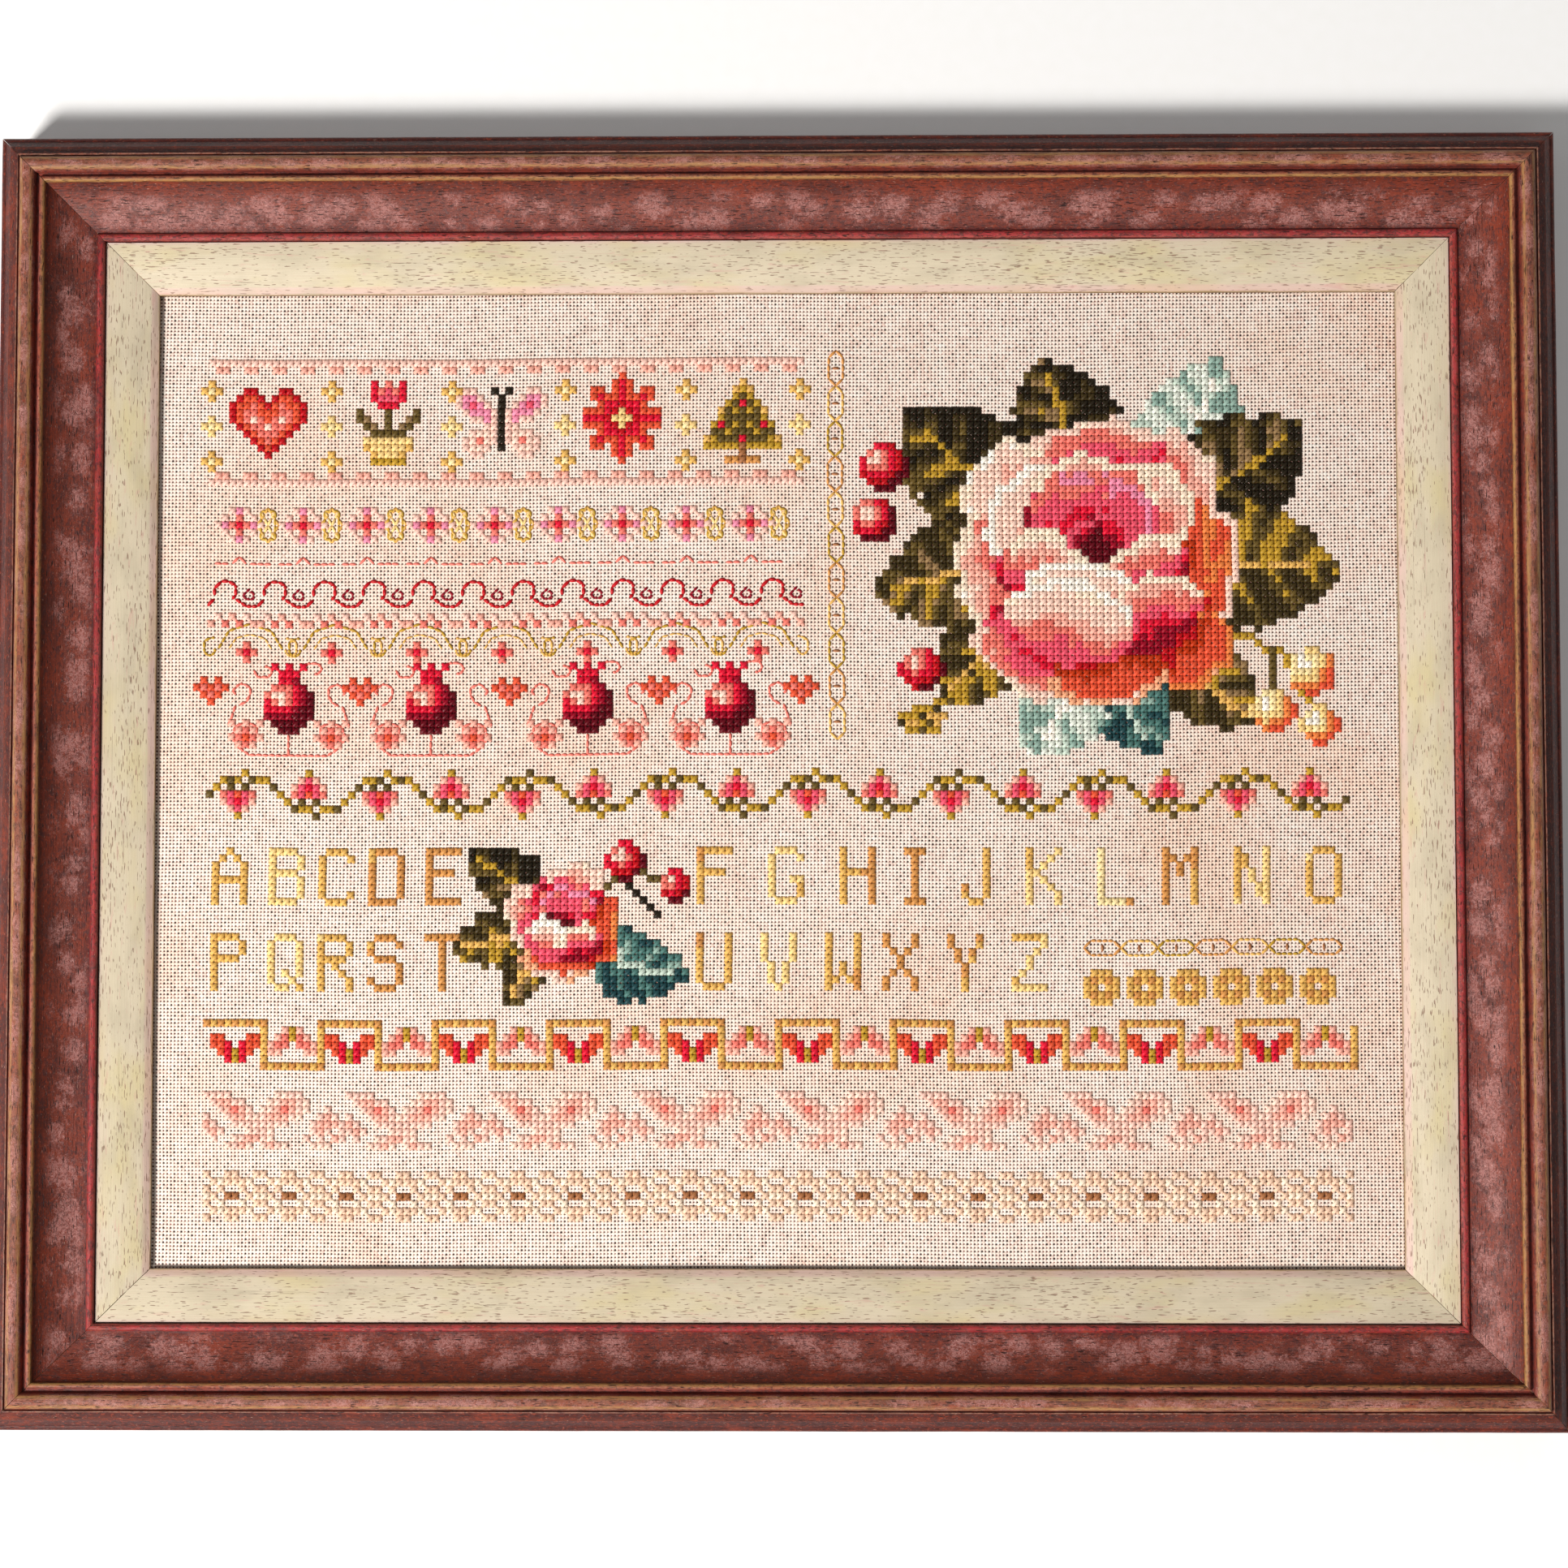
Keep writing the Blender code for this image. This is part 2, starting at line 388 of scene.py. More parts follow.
@dataclass(frozen=True)
class CreamPaint:
    """Cream paint on an open-pored slip, pinkish on the inner bevel and along the outer edge.

    Args:
        bands: where along the section each shade lies, as a share of it.
        run_length: how long the section is all round, in millimetres.
    """

    bands: tuple
    run_length: float
    pore: tuple = (140, 100, 84)
    flush: tuple = (214, 160, 150)

    def build(self) -> bpy.types.Material:
        """Lays the finish's nodes over the piece's own Run map."""
        bench = NodeBench("cream_paint")
        run = bench.add("UVMap", {}, uv_map="Run")
        parts = bench.add("SeparateXYZ", {"Vector": run})
        girth = bench.math("DIVIDE", parts.node.outputs[1], self.run_length)
        wobble = bench.noise(bench.stretched(run, 0.10, 0.4), 1.0, 3)
        girth = bench.math("ADD", girth, bench.remap(wobble, 0.3, 0.7, -0.004, 0.004))
        colour = bench.ramp(girth, list(self.bands))
        cloud = bench.noise(bench.stretched(run, 0.035, 0.09), 1.0, 3, 0.55)
        colour = bench.mix(bench.remap(cloud, 0.48, 0.66, 0.0, 0.7), colour, (250, 248, 214), "MULTIPLY")
        shade = bench.noise(bench.stretched(run, 0.06, 0.16), 1.0, 4, 0.6)
        colour = bench.mix(bench.remap(shade, 0.46, 0.66, 0.0, 0.5), colour, (190, 178, 152))
        streak = bench.noise(bench.stretched(run, 0.04, 2.0), 1.0, 4, 0.7)
        colour = bench.mix(bench.remap(streak, 0.45, 0.8, 0.0, 0.4), colour, (206, 188, 158))
        pores = bench.noise(bench.stretched(run, 0.38, 3.0), 1.0, 1, 0.5)
        few = bench.noise(bench.stretched(run, 0.02, 0.12), 1.0, 2)
        pore = bench.remap(bench.math("ADD", pores, bench.remap(few, 0.3, 0.7, -0.05, 0.04)), 0.635, 0.68)
        colour = bench.mix(bench.math("MULTIPLY", pore, 0.75), colour, self.pore)
        flush = bench.noise(bench.stretched(run, 0.12, 0.9, 2.0), 1.0, 3, 0.6, 1.0)
        colour = bench.mix(bench.remap(flush, 0.60, 0.70, 0.0, 0.40), colour, self.flush)
        crack = bench.noise(bench.stretched(run, 0.018, 0.9), 1.0, 3, 0.5)
        off_crack = bench.math("ABSOLUTE", bench.math("SUBTRACT", crack, 0.69))
        hair = bench.remap(off_crack, 0.0, 0.005, 0.5, 0.0)
        colour = bench.mix(hair, colour, (134, 98, 74))
        relief = bench.math("SUBTRACT", bench.math("MULTIPLY", streak, 0.7), pore)
        relief = bench.math("SUBTRACT", relief, hair)
        return bench.finish(Base_Color=colour, Roughness=bench.remap(streak, 0.3, 0.8, 0.42, 0.6),
                            Normal=bench.bump(relief, 0.10 * MM, 0.8), Specular_IOR_Level=0.4)


@dataclass(frozen=True)
class RawWood:
    """Unfinished softwood, as on a moulding's back, rebate and cut ends."""

    pale: tuple = (206, 172, 128)
    dark: tuple = (168, 126, 84)

    def build(self) -> bpy.types.Material:
        """Lays the finish's nodes over Object coordinates."""
        bench = NodeBench("raw_wood")
        place = bench.add("TexCoord", {}, 3)
        rings = bench.noise(bench.stretched(place, 90, 90, 700), 1.0, 4, 0.6, 1.0)
        colour = bench.ramp(rings, [(0.3, self.dark), (0.5, self.pale), (0.7, self.dark)])
        fibre = bench.noise(bench.stretched(place, 900, 900, 2600), 1.0, 2)
        return bench.finish(Base_Color=colour, Roughness=0.7, Normal=bench.bump(fibre, 0.1 * MM, 0.5))


@dataclass(frozen=True)
class Fibreboard:
    """Pressed brown fibreboard: matted fibres with pale and dark specks."""

    pale: tuple = (168, 134, 98)
    dark: tuple = (120, 88, 60)

    def build(self) -> bpy.types.Material:
        """Lays the finish's nodes over Object coordinates."""
        bench = NodeBench("fibreboard")
        place = bench.add("TexCoord", {}, 3)
        fibres = bench.noise(bench.stretched(place, 700, 700, 700), 1.0, 6, 0.75, 2.0)
        colour = bench.ramp(fibres, [(0.3, self.dark), (0.55, self.pale), (0.75, (198, 168, 128))])
        cloud = bench.noise(bench.stretched(place, 18, 18, 18), 1.0, 2)
        colour = bench.mix(bench.remap(cloud, 0.3, 0.7, 0.0, 0.35), colour, self.dark)
        return bench.finish(Base_Color=colour, Roughness=0.8, Normal=bench.bump(fibres, 0.15 * MM, 0.7))


@dataclass
class Moulding:
    """The red outer moulding: four mitred lengths of one section."""

    lip_underside: float = 13.0
    rebate_wall: float = 20.2
    bead_centre: float = 14.25
    bead_half_width: float = 1.0
    bead_shoulder: float = 14.2
    bead_rise: float = 0.8
    scoop_start: Point = (15.4, 14.2)
    scoop_end: Point = (26.85, 20.5)
    scoop_turn: float = 40.0
    rib_centre: float = 27.7
    rib_half_width: float = 0.8
    rib_base: float = 20.6
    rib_rise: float = 1.0
    groove_floor: float = 20.2
    torus_centre: float = 31.5
    torus_half_width: float = 2.15
    torus_base: float = 20.5
    torus_rise: float = 2.1
    arris_width: float = 0.3
    arris_out: float = 34.25
    arris_top: float = 21.1
    arris_drop: float = 1.3
    side_step_out: float = 36.6
    side_step_top: float = 18.4
    side_step_drop: float = 0.5
    outer_edge: float = 39.7
    outer_edge_top: float = 15.8
    outer_corner_radius: float = 1.2
    back_chamfer: float = 0.6
    mitre_gap: float = 0.10

    def section(self) -> list:
        """Gives the section's points, out and up, from the rebate's foot over the face to the back."""
        lip = self.bead_centre - self.bead_half_width
        return [
            (self.rebate_wall, 0.0),
            (self.rebate_wall, self.lip_underside),
            (lip, self.lip_underside),
            *half_round(self.bead_centre, self.bead_half_width, self.bead_shoulder, self.bead_rise, 12),
            *hollow(self.scoop_start, self.scoop_end, self.scoop_turn, 22),
            *half_round(self.rib_centre, self.rib_half_width, self.rib_base, self.rib_rise, 10),
            (self.rib_centre + self.rib_half_width, self.groove_floor),
            (self.torus_centre - self.torus_half_width, self.groove_floor),
            *half_round(self.torus_centre, self.torus_half_width, self.torus_base, self.torus_rise, 18),
            (self.arris_out - self.arris_width, self.arris_top),
            (self.arris_out, self.arris_top),
            (self.arris_out, self.arris_top - self.arris_drop),
            (self.side_step_out, self.side_step_top),
            (self.side_step_out, self.side_step_top - self.side_step_drop),
            *rounded_corner((self.outer_edge, self.outer_edge_top), self.outer_corner_radius, 6),
            (self.outer_edge, self.back_chamfer),
            (self.outer_edge - self.back_chamfer, 0.0),
        ]

    def spread(self, marks: tuple) -> tuple:
        """Turns marks on the face into places along the section.

        Args:
            marks: how far out from the window each mark lies, with its shade.

        Returns:
            The same marks, with each place as a share of the section.
        """
        section = self.section()
        places = girths(section)
        bead = places[2] + 0.5

        def share(out: float) -> float:
            """Finds where the face crosses a distance out from the window."""
            for (a, b), start, end in zip(zip(section, section[1:]), places, places[1:]):
                if start >= bead and a[0] <= out <= b[0] and b[0] > a[0]:
                    return (start + (end - start) * (out - a[0]) / (b[0] - a[0])) / places[-1]
            return 1.0

        return tuple((share(out), shade) for out, shade in marks)

    def finish(self) -> StainedWood:
        """Gives the stain with its bands set out over this section."""
        shades = self.spread((
            # The first marks, 13.26 to 13.62, paint the bead's inner flank lighter and pinker than its crown:
            # painted light on a flank that falls in shade.
            (13.26, (140, 52, 52)), (13.40, (182, 86, 82)), (13.62, (177, 67, 67)), (13.85, (171, 48, 52)),
            # The dark mark at 15.35 and the darker reds up to 17.5 are painted shadow of the bead, in the
            # crease where the cove starts and up its foot.
            (14.4, (177, 58, 61)), (14.95, (147, 37, 43)), (15.35, (89, 26, 24)), (15.9, (104, 43, 35)),
            (17.5, (123, 58, 48)), (21.0, (126, 61, 48)), (24.5, (117, 50, 35)), (26.3, (113, 45, 30)),
            (26.85, (104, 45, 28)), (27.1, (171, 125, 71)), (27.7, (164, 104, 74)), (28.3, (164, 93, 84)),
            (28.5, (140, 58, 48)), (29.4, (132, 56, 46)), (30.2, (141, 78, 56)), (30.9, (156, 97, 82)),
            # The pale mark at 34.1 is a painted highlight along the arris.
            (31.8, (149, 84, 67)), (33.0, (125, 67, 50)), (33.8, (104, 50, 41)), (34.1, (182, 140, 117)),
            (34.24, (108, 52, 41)), (35.0, (76, 28, 22)), (36.5, (104, 50, 37)), (37.2, (73, 26, 20)),
            (39.5, (87, 35, 28)),
        ))
        bare, some, half, full = (0, 0, 0), (84, 84, 84), (140, 140, 140), (250, 250, 250)
        wash = self.spread((
            (15.4, some), (17.3, full), (22.6, full), (24.8, some), (26.4, bare), (29.4, some),
            (30.8, full), (32.0, full), (33.6, some), (34.3, bare),
        ))
        gold = self.spread((
            (15.0, bare), (26.9, bare), (27.2, full), (27.55, some), (28.0, bare), (29.8, bare),
            (30.2, full), (30.9, some), (32.2, some), (32.7, full), (33.4, bare),
        ))
        return StainedWood(shades, wash, gold, girths(self.section())[-1])

    def build(self) -> list:
        """Builds the four rails and gives them back as a list."""
        section = self.section()
        stain = self.finish().build()
        raw = RawWood().build()
        hidden = girths(section)[2]
        rails = []
        for side in Side:
            rail = Strip(f"{side.word}_rail", section, self.mitre_gap).build(side, stain, raw, hidden)
            hand_over(rail, "red_wood", f"rail_{side.word}")
            rails.append(rail)
        return rails


@dataclass
class Liner:
    """The cream slip inside the moulding: four mitred lengths of one section."""

    outer: float = 19.9
    bottom: float = 9.3
    sight_top: float = 10.6
    bevel_out: float = 1.7
    bevel_top: float = 11.5
    shown: float = 12.95
    edge_top: float = 13.7
    flange_top: float = 12.7
    crown: float = 0.35
    mitre_gap: float = 0.12

    def section(self) -> list:
        """Gives the section's points, out and up, from the hidden foot over the sight edge to the lip."""
        shares = [i / 16 for i in range(17)]
        run = self.shown - self.bevel_out
        rise = self.edge_top - self.bevel_top
        face = [(self.bevel_out + run * s, self.bevel_top + rise * s + self.crown * math.sin(math.pi * s))
                for s in shares]
        return [
            (self.outer, self.bottom),
            (0.0, self.bottom),
            (0.0, self.sight_top - 0.2),
            (0.06, self.sight_top - 0.06),
            (0.2, self.sight_top),
            (1.0, self.sight_top + 0.5),
            *face,
            (self.shown, self.flange_top),
            (self.outer, self.flange_top),
        ]

    def bands(self) -> tuple:
        """Gives the paint's bands along the section, as a share of it."""
        places = girths(self.section())
        foot = places[1]
        length = places[-1]
        marks = (
            # The marks from 0.0 to 0.9 paint the sight edge's wall dark brown: a brown edge deepened with
            # painted shade.
            (0.0, (93, 64, 39)), (0.9, (129, 104, 60)), (1.3, (189, 160, 127)), (1.6, (224, 191, 179)),
            (3.1, (224, 196, 181)), (3.4, (221, 207, 179)), (6.0, (223, 209, 182)), (11.0, (219, 206, 178)),
            (14.0, (217, 201, 176)), (14.6, (220, 193, 183)), (15.0, (207, 164, 162)),
        )
        return tuple(((foot + over) / length, shade) for over, shade in marks)

    def build(self) -> list:
        """Builds the four slips and gives them back as a list."""
        section = self.section()
        paint = CreamPaint(self.bands(), girths(section)[-1]).build()
        raw = RawWood().build()
        hidden = girths(section)[1]
        slips = []
        for side in Side:
            slip = Strip(f"{side.word}_liner", section, self.mitre_gap).build(side, paint, raw, hidden)
            hand_over(slip, "cream_wood", f"liner_{side.word}")
            slips.append(slip)
        return slips


@dataclass
class Strip:
    """One mitred length of a section, on one side of the frame.

    Args:
        name: the piece's name.
        section: the section's points, out and up, in millimetres.
        mitre_gap: the hairline left open in each mitre.
        unevenness: how far the surface strays from true.
        cuts: into how many lengths it is cut, in turn, less one each time.
        smooth_below: up to how many degrees an edge is shaded smooth.
    """

    name: str
    section: list
    mitre_gap: float
    unevenness: float = 0.05
    cuts: tuple = (9, 15)
    smooth_below: float = 38.0

    def build(self, side: Side, face: bpy.types.Material, raw: bpy.types.Material,
              hidden: float) -> bpy.types.Object:
        """Extrudes, mitres and dresses the length.

        Args:
            side: where it goes.
            face: the finish of what shows.
            raw: the finish of the cut ends, the rebate and the back.
            hidden: how far along the section the part that doesn't show goes.

        Returns:
            The finished piece.
        """
        piece = self.extrude(side)
        self.mitre(side)
        bpy.ops.object.mode_set(mode="OBJECT")
        self.map_run(piece, side, face, raw, hidden)
        self.roughen(piece, side)
        bpy.ops.object.shade_smooth_by_angle(angle=math.radians(self.smooth_below))
        return piece

    def extrude(self, side: Side) -> bpy.types.Object:
        """Draws the section past one end of the side and extrudes it past the other, in short lengths."""
        clear_selection()
        bpy.ops.mesh.primitive_circle_add(vertices=len(self.section), radius=MM, fill_type="NGON")
        piece = bpy.context.object
        piece.name = self.name
        piece.data.name = self.name
        out, up = np.array(self.section).T
        length = side.half_length + out.max() + 1
        start = side.place(np.full(len(out), -length), out, up)
        end = side.place(np.array([length]), out[:1], up[:1])
        for vertex, place in zip(piece.data.vertices, start):
            vertex.co = place
        bpy.ops.object.mode_set(mode="EDIT")
        bpy.ops.mesh.select_all(action="SELECT")
        bpy.ops.mesh.extrude_region_move(TRANSFORM_OT_translate={"value": Vector(end[0] - start[0])})
        bpy.ops.object.mode_set(mode="OBJECT")
        for cuts in self.cuts:
            along = side.read(np.array([v.co for v in piece.data.vertices]))[0]
            ends = [edge.vertices for edge in piece.data.edges]
            select_edges(piece, [abs(along[a] - along[b]) > 0.01 for a, b in ends])
            bpy.ops.mesh.subdivide(number_cuts=cuts)
            bpy.ops.object.mode_set(mode="OBJECT")
        bpy.ops.object.mode_set(mode="EDIT")
        return piece

    def mitre(self, side: Side) -> None:
        """Cuts both ends at 45 degrees through the window's corners and closes the cuts."""
        for end in (-1, 1):
            reach = np.array([end * side.half_length])
            corner = side.place(reach, np.array([0.0]), np.array([0.0]))[0]
            inward = side.place(reach + end, np.array([-1.0]), np.array([0.0]))[0]
            normal = Vector(inward - corner).normalized()
            bpy.ops.mesh.select_all(action="SELECT")
            bpy.ops.mesh.bisect(plane_co=Vector(corner) - normal * self.mitre_gap / 2 * MM, plane_no=normal,
                                use_fill=True, clear_outer=True)
        bpy.ops.mesh.select_all(action="SELECT")
        bpy.ops.mesh.normals_make_consistent(inside=False)

    def map_run(self, piece: bpy.types.Object, side: Side, face: bpy.types.Material, raw: bpy.types.Material,
                hidden: float) -> None:
        """Gives each corner its place along and round the section, and each face its finish."""
        mesh = piece.data
        points = np.array([v.co for v in mesh.vertices])
        along, out, up = side.read(points)
        profile = np.array(self.section)
        nearest = np.hypot(out[:, None] - profile[:, 0], up[:, None] - profile[:, 1]).argmin(axis=1)
        round_section = girths(self.section)[nearest]
        layer = mesh.uv_layers.new(name="Run")
        loops = np.array([loop.vertex_index for loop in mesh.loops])
        start = 800.0 * side.value
        layer.uv.foreach_set("vector", np.stack([along[loops] + start, round_section[loops]], axis=1).ravel())
        mesh.materials.append(face)
        mesh.materials.append(raw)
        last = len(profile) - 1
        for polygon in mesh.polygons:
            marks = nearest[list(polygon.vertices)]
            places = round_section[list(polygon.vertices)]
            behind = places.max() <= hidden + 0.01 or {0, last} == set(marks)
            normal = polygon.normal
            cut_end = abs(abs(normal.x) - abs(normal.y)) < 0.01 and abs(normal.z) < 0.01
            polygon.material_index = 1 if behind or cut_end else 0

    def roughen(self, piece: bpy.types.Object, side: Side) -> None:
        """Moves the surface a little along its normals, as sanded and painted wood strays."""
        mesh = piece.data
        shift = Vector((side.value * 3.7, side.value * 1.9, 0))
        moves = []
        for vertex in mesh.vertices:
            place = vertex.co / MM + shift
            sway = noise.noise(place * 0.05) + 0.5 * noise.noise(place * 0.35)
            moves.append(vertex.co + vertex.normal * sway * self.unevenness * MM)
        for vertex, place in zip(mesh.vertices, moves):
            vertex.co = place


@dataclass
class Linen:
    """The stretched evenweave cloth.

    Args:
        underside: how high its underside lies, in millimetres.
        thickness: how thick it is with its sways.
        play: how much of that thickness is left for the sways, above and below.
        sway: how far it rises and falls.
        drift: how far its threads stray from a true grid, in threads.
        grid: into how many squares it is laid.
    """

    underside: float = 8.05
    thickness: float = 0.95
    play: float = 0.06
    sway: float = 0.10
    drift: float = 0.22
    grid: tuple = (118, 96)

    def drift_at(self, x: np.ndarray, y: np.ndarray) -> tuple:
        """Gives how far the threads stray from a true grid at a place, in threads."""
        across = self.drift * np.sin(y / 21.0 + 0.8) + 0.4 * self.drift * np.sin(y / 7.3 + x / 60.0)
        down = self.drift * np.sin(x / 26.0 + 2.1) + 0.4 * self.drift * np.sin(x / 8.1 + y / 50.0)
        return across, down

    def height_at(self, x: float, y: float) -> float:
        """Gives the cloth's top at a place, all in millimetres."""
        sway = math.sin(x / 31.0 + 0.4 * math.sin(y / 40.0)) * math.sin(y / 27.0 + 1.3)
        sway += 0.4 * math.sin(x / 11.0 + y / 17.0)
        edge = min(1.0, (HALF_WIDTH + 4 - abs(x)) / 20, (HALF_HEIGHT + 4 - abs(y)) / 20)
        return self.underside + self.thickness - self.play + self.sway * sway * max(edge, 0.0)

    def build(self) -> bpy.types.Object:
        """Lays the cloth as a fine grid with its small sways, and thickens it."""
        low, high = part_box("linen_cloth")
        clear_selection()
        bpy.ops.mesh.primitive_grid_add(x_subdivisions=self.grid[0], y_subdivisions=self.grid[1], size=1)
        cloth = bpy.context.object
        cloth.name = "linen"
        cloth.data.name = "linen"
        for vertex in cloth.data.vertices:
            x = vertex.co.x * (high.x - low.x)
            y = vertex.co.y * (high.y - low.y)
            vertex.co = (x, y, self.height_at(x / MM, y / MM) * MM)
        solid = cloth.modifiers.new("thickness", "SOLIDIFY")
        solid.thickness = (self.thickness - 2 * self.play) * MM
        solid.offset = -1
        apply_modifiers(cloth)
        bpy.ops.object.shade_smooth()
        cloth.data.materials.append(self.weave())
        hand_over(cloth, "linen", "linen_cloth")
        return cloth

    def weave(self) -> bpy.types.Material:
        """Lays the plain weave: round threads that pass over and under, with dark holes between them."""
        bench = NodeBench("evenweave")
        place = bench.add("TexCoord", {}, 3)
        in_mm = bench.stretched(place, 1 / MM, 1 / MM, 1 / MM)
        parts = bench.add("SeparateXYZ", {"Vector": in_mm}).node.outputs
        x, y = parts[0], parts[1]

        def wave(position: object, length: float, shift: object, size: float) -> object:
            """Lays one sine of the threads' drift."""
            angle = bench.math("ADD", bench.math("DIVIDE", position, length), shift)
            return bench.math("MULTIPLY", bench.math("SINE", angle), size)

        across = bench.math("ADD", wave(y, 21.0, 0.8, self.drift),
                            wave(y, 7.3, bench.math("DIVIDE", x, 60.0), 0.4 * self.drift))
        down = bench.math("ADD", wave(x, 26.0, 2.1, self.drift),
                          wave(x, 8.1, bench.math("DIVIDE", y, 50.0), 0.4 * self.drift))
        u = bench.math("SUBTRACT", bench.math("MULTIPLY_ADD", x, 1 / THREAD, 500.0), across)
        v = bench.math("SUBTRACT", bench.math("MULTIPLY_ADD", y, 1 / THREAD, 500.5), down)
        column, line = bench.math("FLOOR", u), bench.math("FLOOR", v)
        off_u = bench.math("ABSOLUTE", bench.math("MULTIPLY_ADD", bench.math("FRACT", u), 2.0, -1.0))
        off_v = bench.math("ABSOLUTE", bench.math("MULTIPLY_ADD", bench.math("FRACT", v), 2.0, -1.0))
        over = bench.math("MODULO", bench.math("ADD", column, line), 2.0)
        along_warp = bench.add("CombineXYZ", {0: bench.math("MULTIPLY", column, 7.31),
                                              1: bench.math("MULTIPLY", v, 0.16)})
        along_weft = bench.add("CombineXYZ", {0: bench.math("MULTIPLY", u, 0.16),
                                              1: bench.math("MULTIPLY", line, 5.77), 2: 40.0})
        warp = bench.noise(along_warp, 1.0, 3, 0.6)
        weft = bench.noise(along_weft, 1.0, 3, 0.6)
        wide_u = bench.remap(warp, 0.3, 0.7, 0.66, 0.96)
        wide_v = bench.remap(weft, 0.3, 0.7, 0.66, 0.96)
        round_u = self.crown(bench, off_u, wide_u)
        round_v = self.crown(bench, off_v, wide_v)
        rise_warp = bench.math("MULTIPLY", round_u, bench.remap(off_v, 0.0, 1.0, 1.0, 0.45))
        rise_weft = bench.math("MULTIPLY", round_v, bench.remap(off_u, 0.0, 1.0, 1.0, 0.45))
        under_warp = bench.math("MULTIPLY", round_u, 0.45)
        under_weft = bench.math("MULTIPLY", round_v, 0.45)
        warp_up = bench.math("MAXIMUM", rise_warp, under_weft)
        weft_up = bench.math("MAXIMUM", rise_weft, under_warp)
        height = bench.add("Mix", {0: over, 2: warp_up, 3: weft_up}, data_type="FLOAT")
        tint = bench.add("Mix", {0: over, 2: warp, 3: weft}, data_type="FLOAT")
        shades = [(0.25, (244, 214, 200)), (0.5, (255, 238, 224)), (0.75, (255, 249, 240))]
        threads = bench.ramp(tint, shades)
        stain = bench.noise(bench.stretched(place, 14, 14, 14), 1.0, 4, 0.6, 0.8)
        threads = bench.mix(bench.remap(stain, 0.46, 0.66, 0.0, 0.4), threads, (255, 222, 198), "MULTIPLY")
        near_u, near_v = bench.math("ROUND", u), bench.math("ROUND", v)
        which = bench.add("TexWhiteNoise", {"Vector": bench.add("CombineXYZ", {0: near_u, 1: near_v})},
                          noise_dimensions="2D")
        every_other = bench.math("MODULO", bench.math("ADD", near_u, near_v), 2.0)
        which = bench.math("MULTIPLY_ADD", every_other, 0.40, bench.math("MULTIPLY", which, 0.60))
        reach_u = bench.math("POWER", bench.math("SUBTRACT", 1.0, off_u), 2.0)
        reach_v = bench.math("POWER", bench.math("SUBTRACT", 1.0, off_v), 2.0)
        reach = bench.math("SQRT", bench.math("ADD", reach_u, reach_v))
        tight = bench.math("MULTIPLY", bench.remap(which, 0.0, 1.0, 0.76, 1.22),
                           bench.math("ADD", wide_u, wide_v))
        hole = bench.remap(bench.math("MULTIPLY", reach, tight), 0.50, 1.04, 1.0, 0.0)
        # The holes are painted the backing's brown deepened with painted shade, darker or paler from hole to
        # hole.
        deep = bench.mix(bench.remap(which, 0.25, 1.0), (48, 16, 14), (168, 96, 80))
        colour = bench.mix(hole, threads, deep)
        height = bench.math("SUBTRACT", height, bench.math("MULTIPLY", hole, 0.6))
        relief = bench.bump(height, 0.22 * MM, 0.75)
        return bench.finish(Base_Color=colour, Roughness=0.85, Normal=relief, Sheen_Weight=0.15,
                            Sheen_Roughness=0.5, Specular_IOR_Level=0.25)

    @staticmethod
    def crown(bench: NodeBench, off: object, wide: object) -> object:
        """Lays a thread's round top across its width: 1 on its middle and 0 past its edge."""
        share = bench.math("DIVIDE", off, wide)
        fall = bench.math("SUBTRACT", 1.0, bench.math("MULTIPLY", share, share))
        return bench.math("SQRT", bench.math("MAXIMUM", fall, 0.0))


class Floss(Enum):
    """Thread shades, as red, green and blue from 0 to 255."""

    WHITE = (255, 248, 236)
    ECRU = (252, 231, 208)
    SHELL = (253, 217, 200)
    BLUSH = (248, 184, 167)
    PEACH = (246, 178, 140)
    APRICOT = (238, 140, 86)
    CORAL = (228, 98, 74)
    SALMON = (240, 132, 120)
    ROSE = (238, 100, 120)
    GERANIUM = (222, 46, 66)
    RUST = (190, 62, 34)
    RED = (192, 30, 38)
    CRIMSON = (150, 14, 38)
    GARNET = (96, 6, 22)
    CANDY = (240, 150, 176)
    PALE_PINK = (250, 208, 193)
    BLACK_OLIVE = (34, 27, 14)
    DARK_OLIVE = (62, 50, 24)
    OLIVE = (100, 82, 42)
    TAUPE = (146, 118, 82)
    MUSTARD = (190, 152, 62)
    OCHRE = (228, 182, 106)
    STRAW = (247, 214, 148)
    BUTTER = (252, 230, 176)
    TAN_GOLD = (210, 150, 90)
    ICE = (228, 234, 222)
    AQUA = (196, 212, 198)
    SAGE_BLUE = (146, 174, 162)
    TEAL = (78, 118, 112)
    DEEP_TEAL = (34, 68, 72)
    SAND = (243, 208, 182)
    BROWN = (166, 112, 76)


F = Floss
KEY = {
    "s": F.SHELL, "b": F.BLUSH, "c": F.CORAL, "m": F.SALMON, "r": F.ROSE, "g": F.GERANIUM, "R": F.RED,
    "n": F.CANDY, "p": F.PALE_PINK, "e": F.ECRU, "d": F.SAND, "D": F.BROWN, "N": F.TAN_GOLD,
    "K": F.BLACK_OLIVE, "O": F.OLIVE, "T": F.TAUPE, "M": F.MUSTARD, "o": F.OCHRE, "y": F.STRAW, "Y": F.BUTTER,
}
BLUSHING = (F.WHITE, F.ECRU, F.SHELL, F.SHELL, F.BLUSH, F.SALMON, F.ROSE)
ROSY = (F.ECRU, F.SHELL, F.BLUSH, F.SALMON, F.ROSE, F.GERANIUM, F.CRIMSON)
EMBER = (F.SHELL, F.PEACH, F.APRICOT, F.CORAL, F.CORAL, F.RUST, F.RED)
FLAME = (F.PEACH, F.APRICOT, F.CORAL, F.CORAL, F.RUST, F.RED, F.CRIMSON)
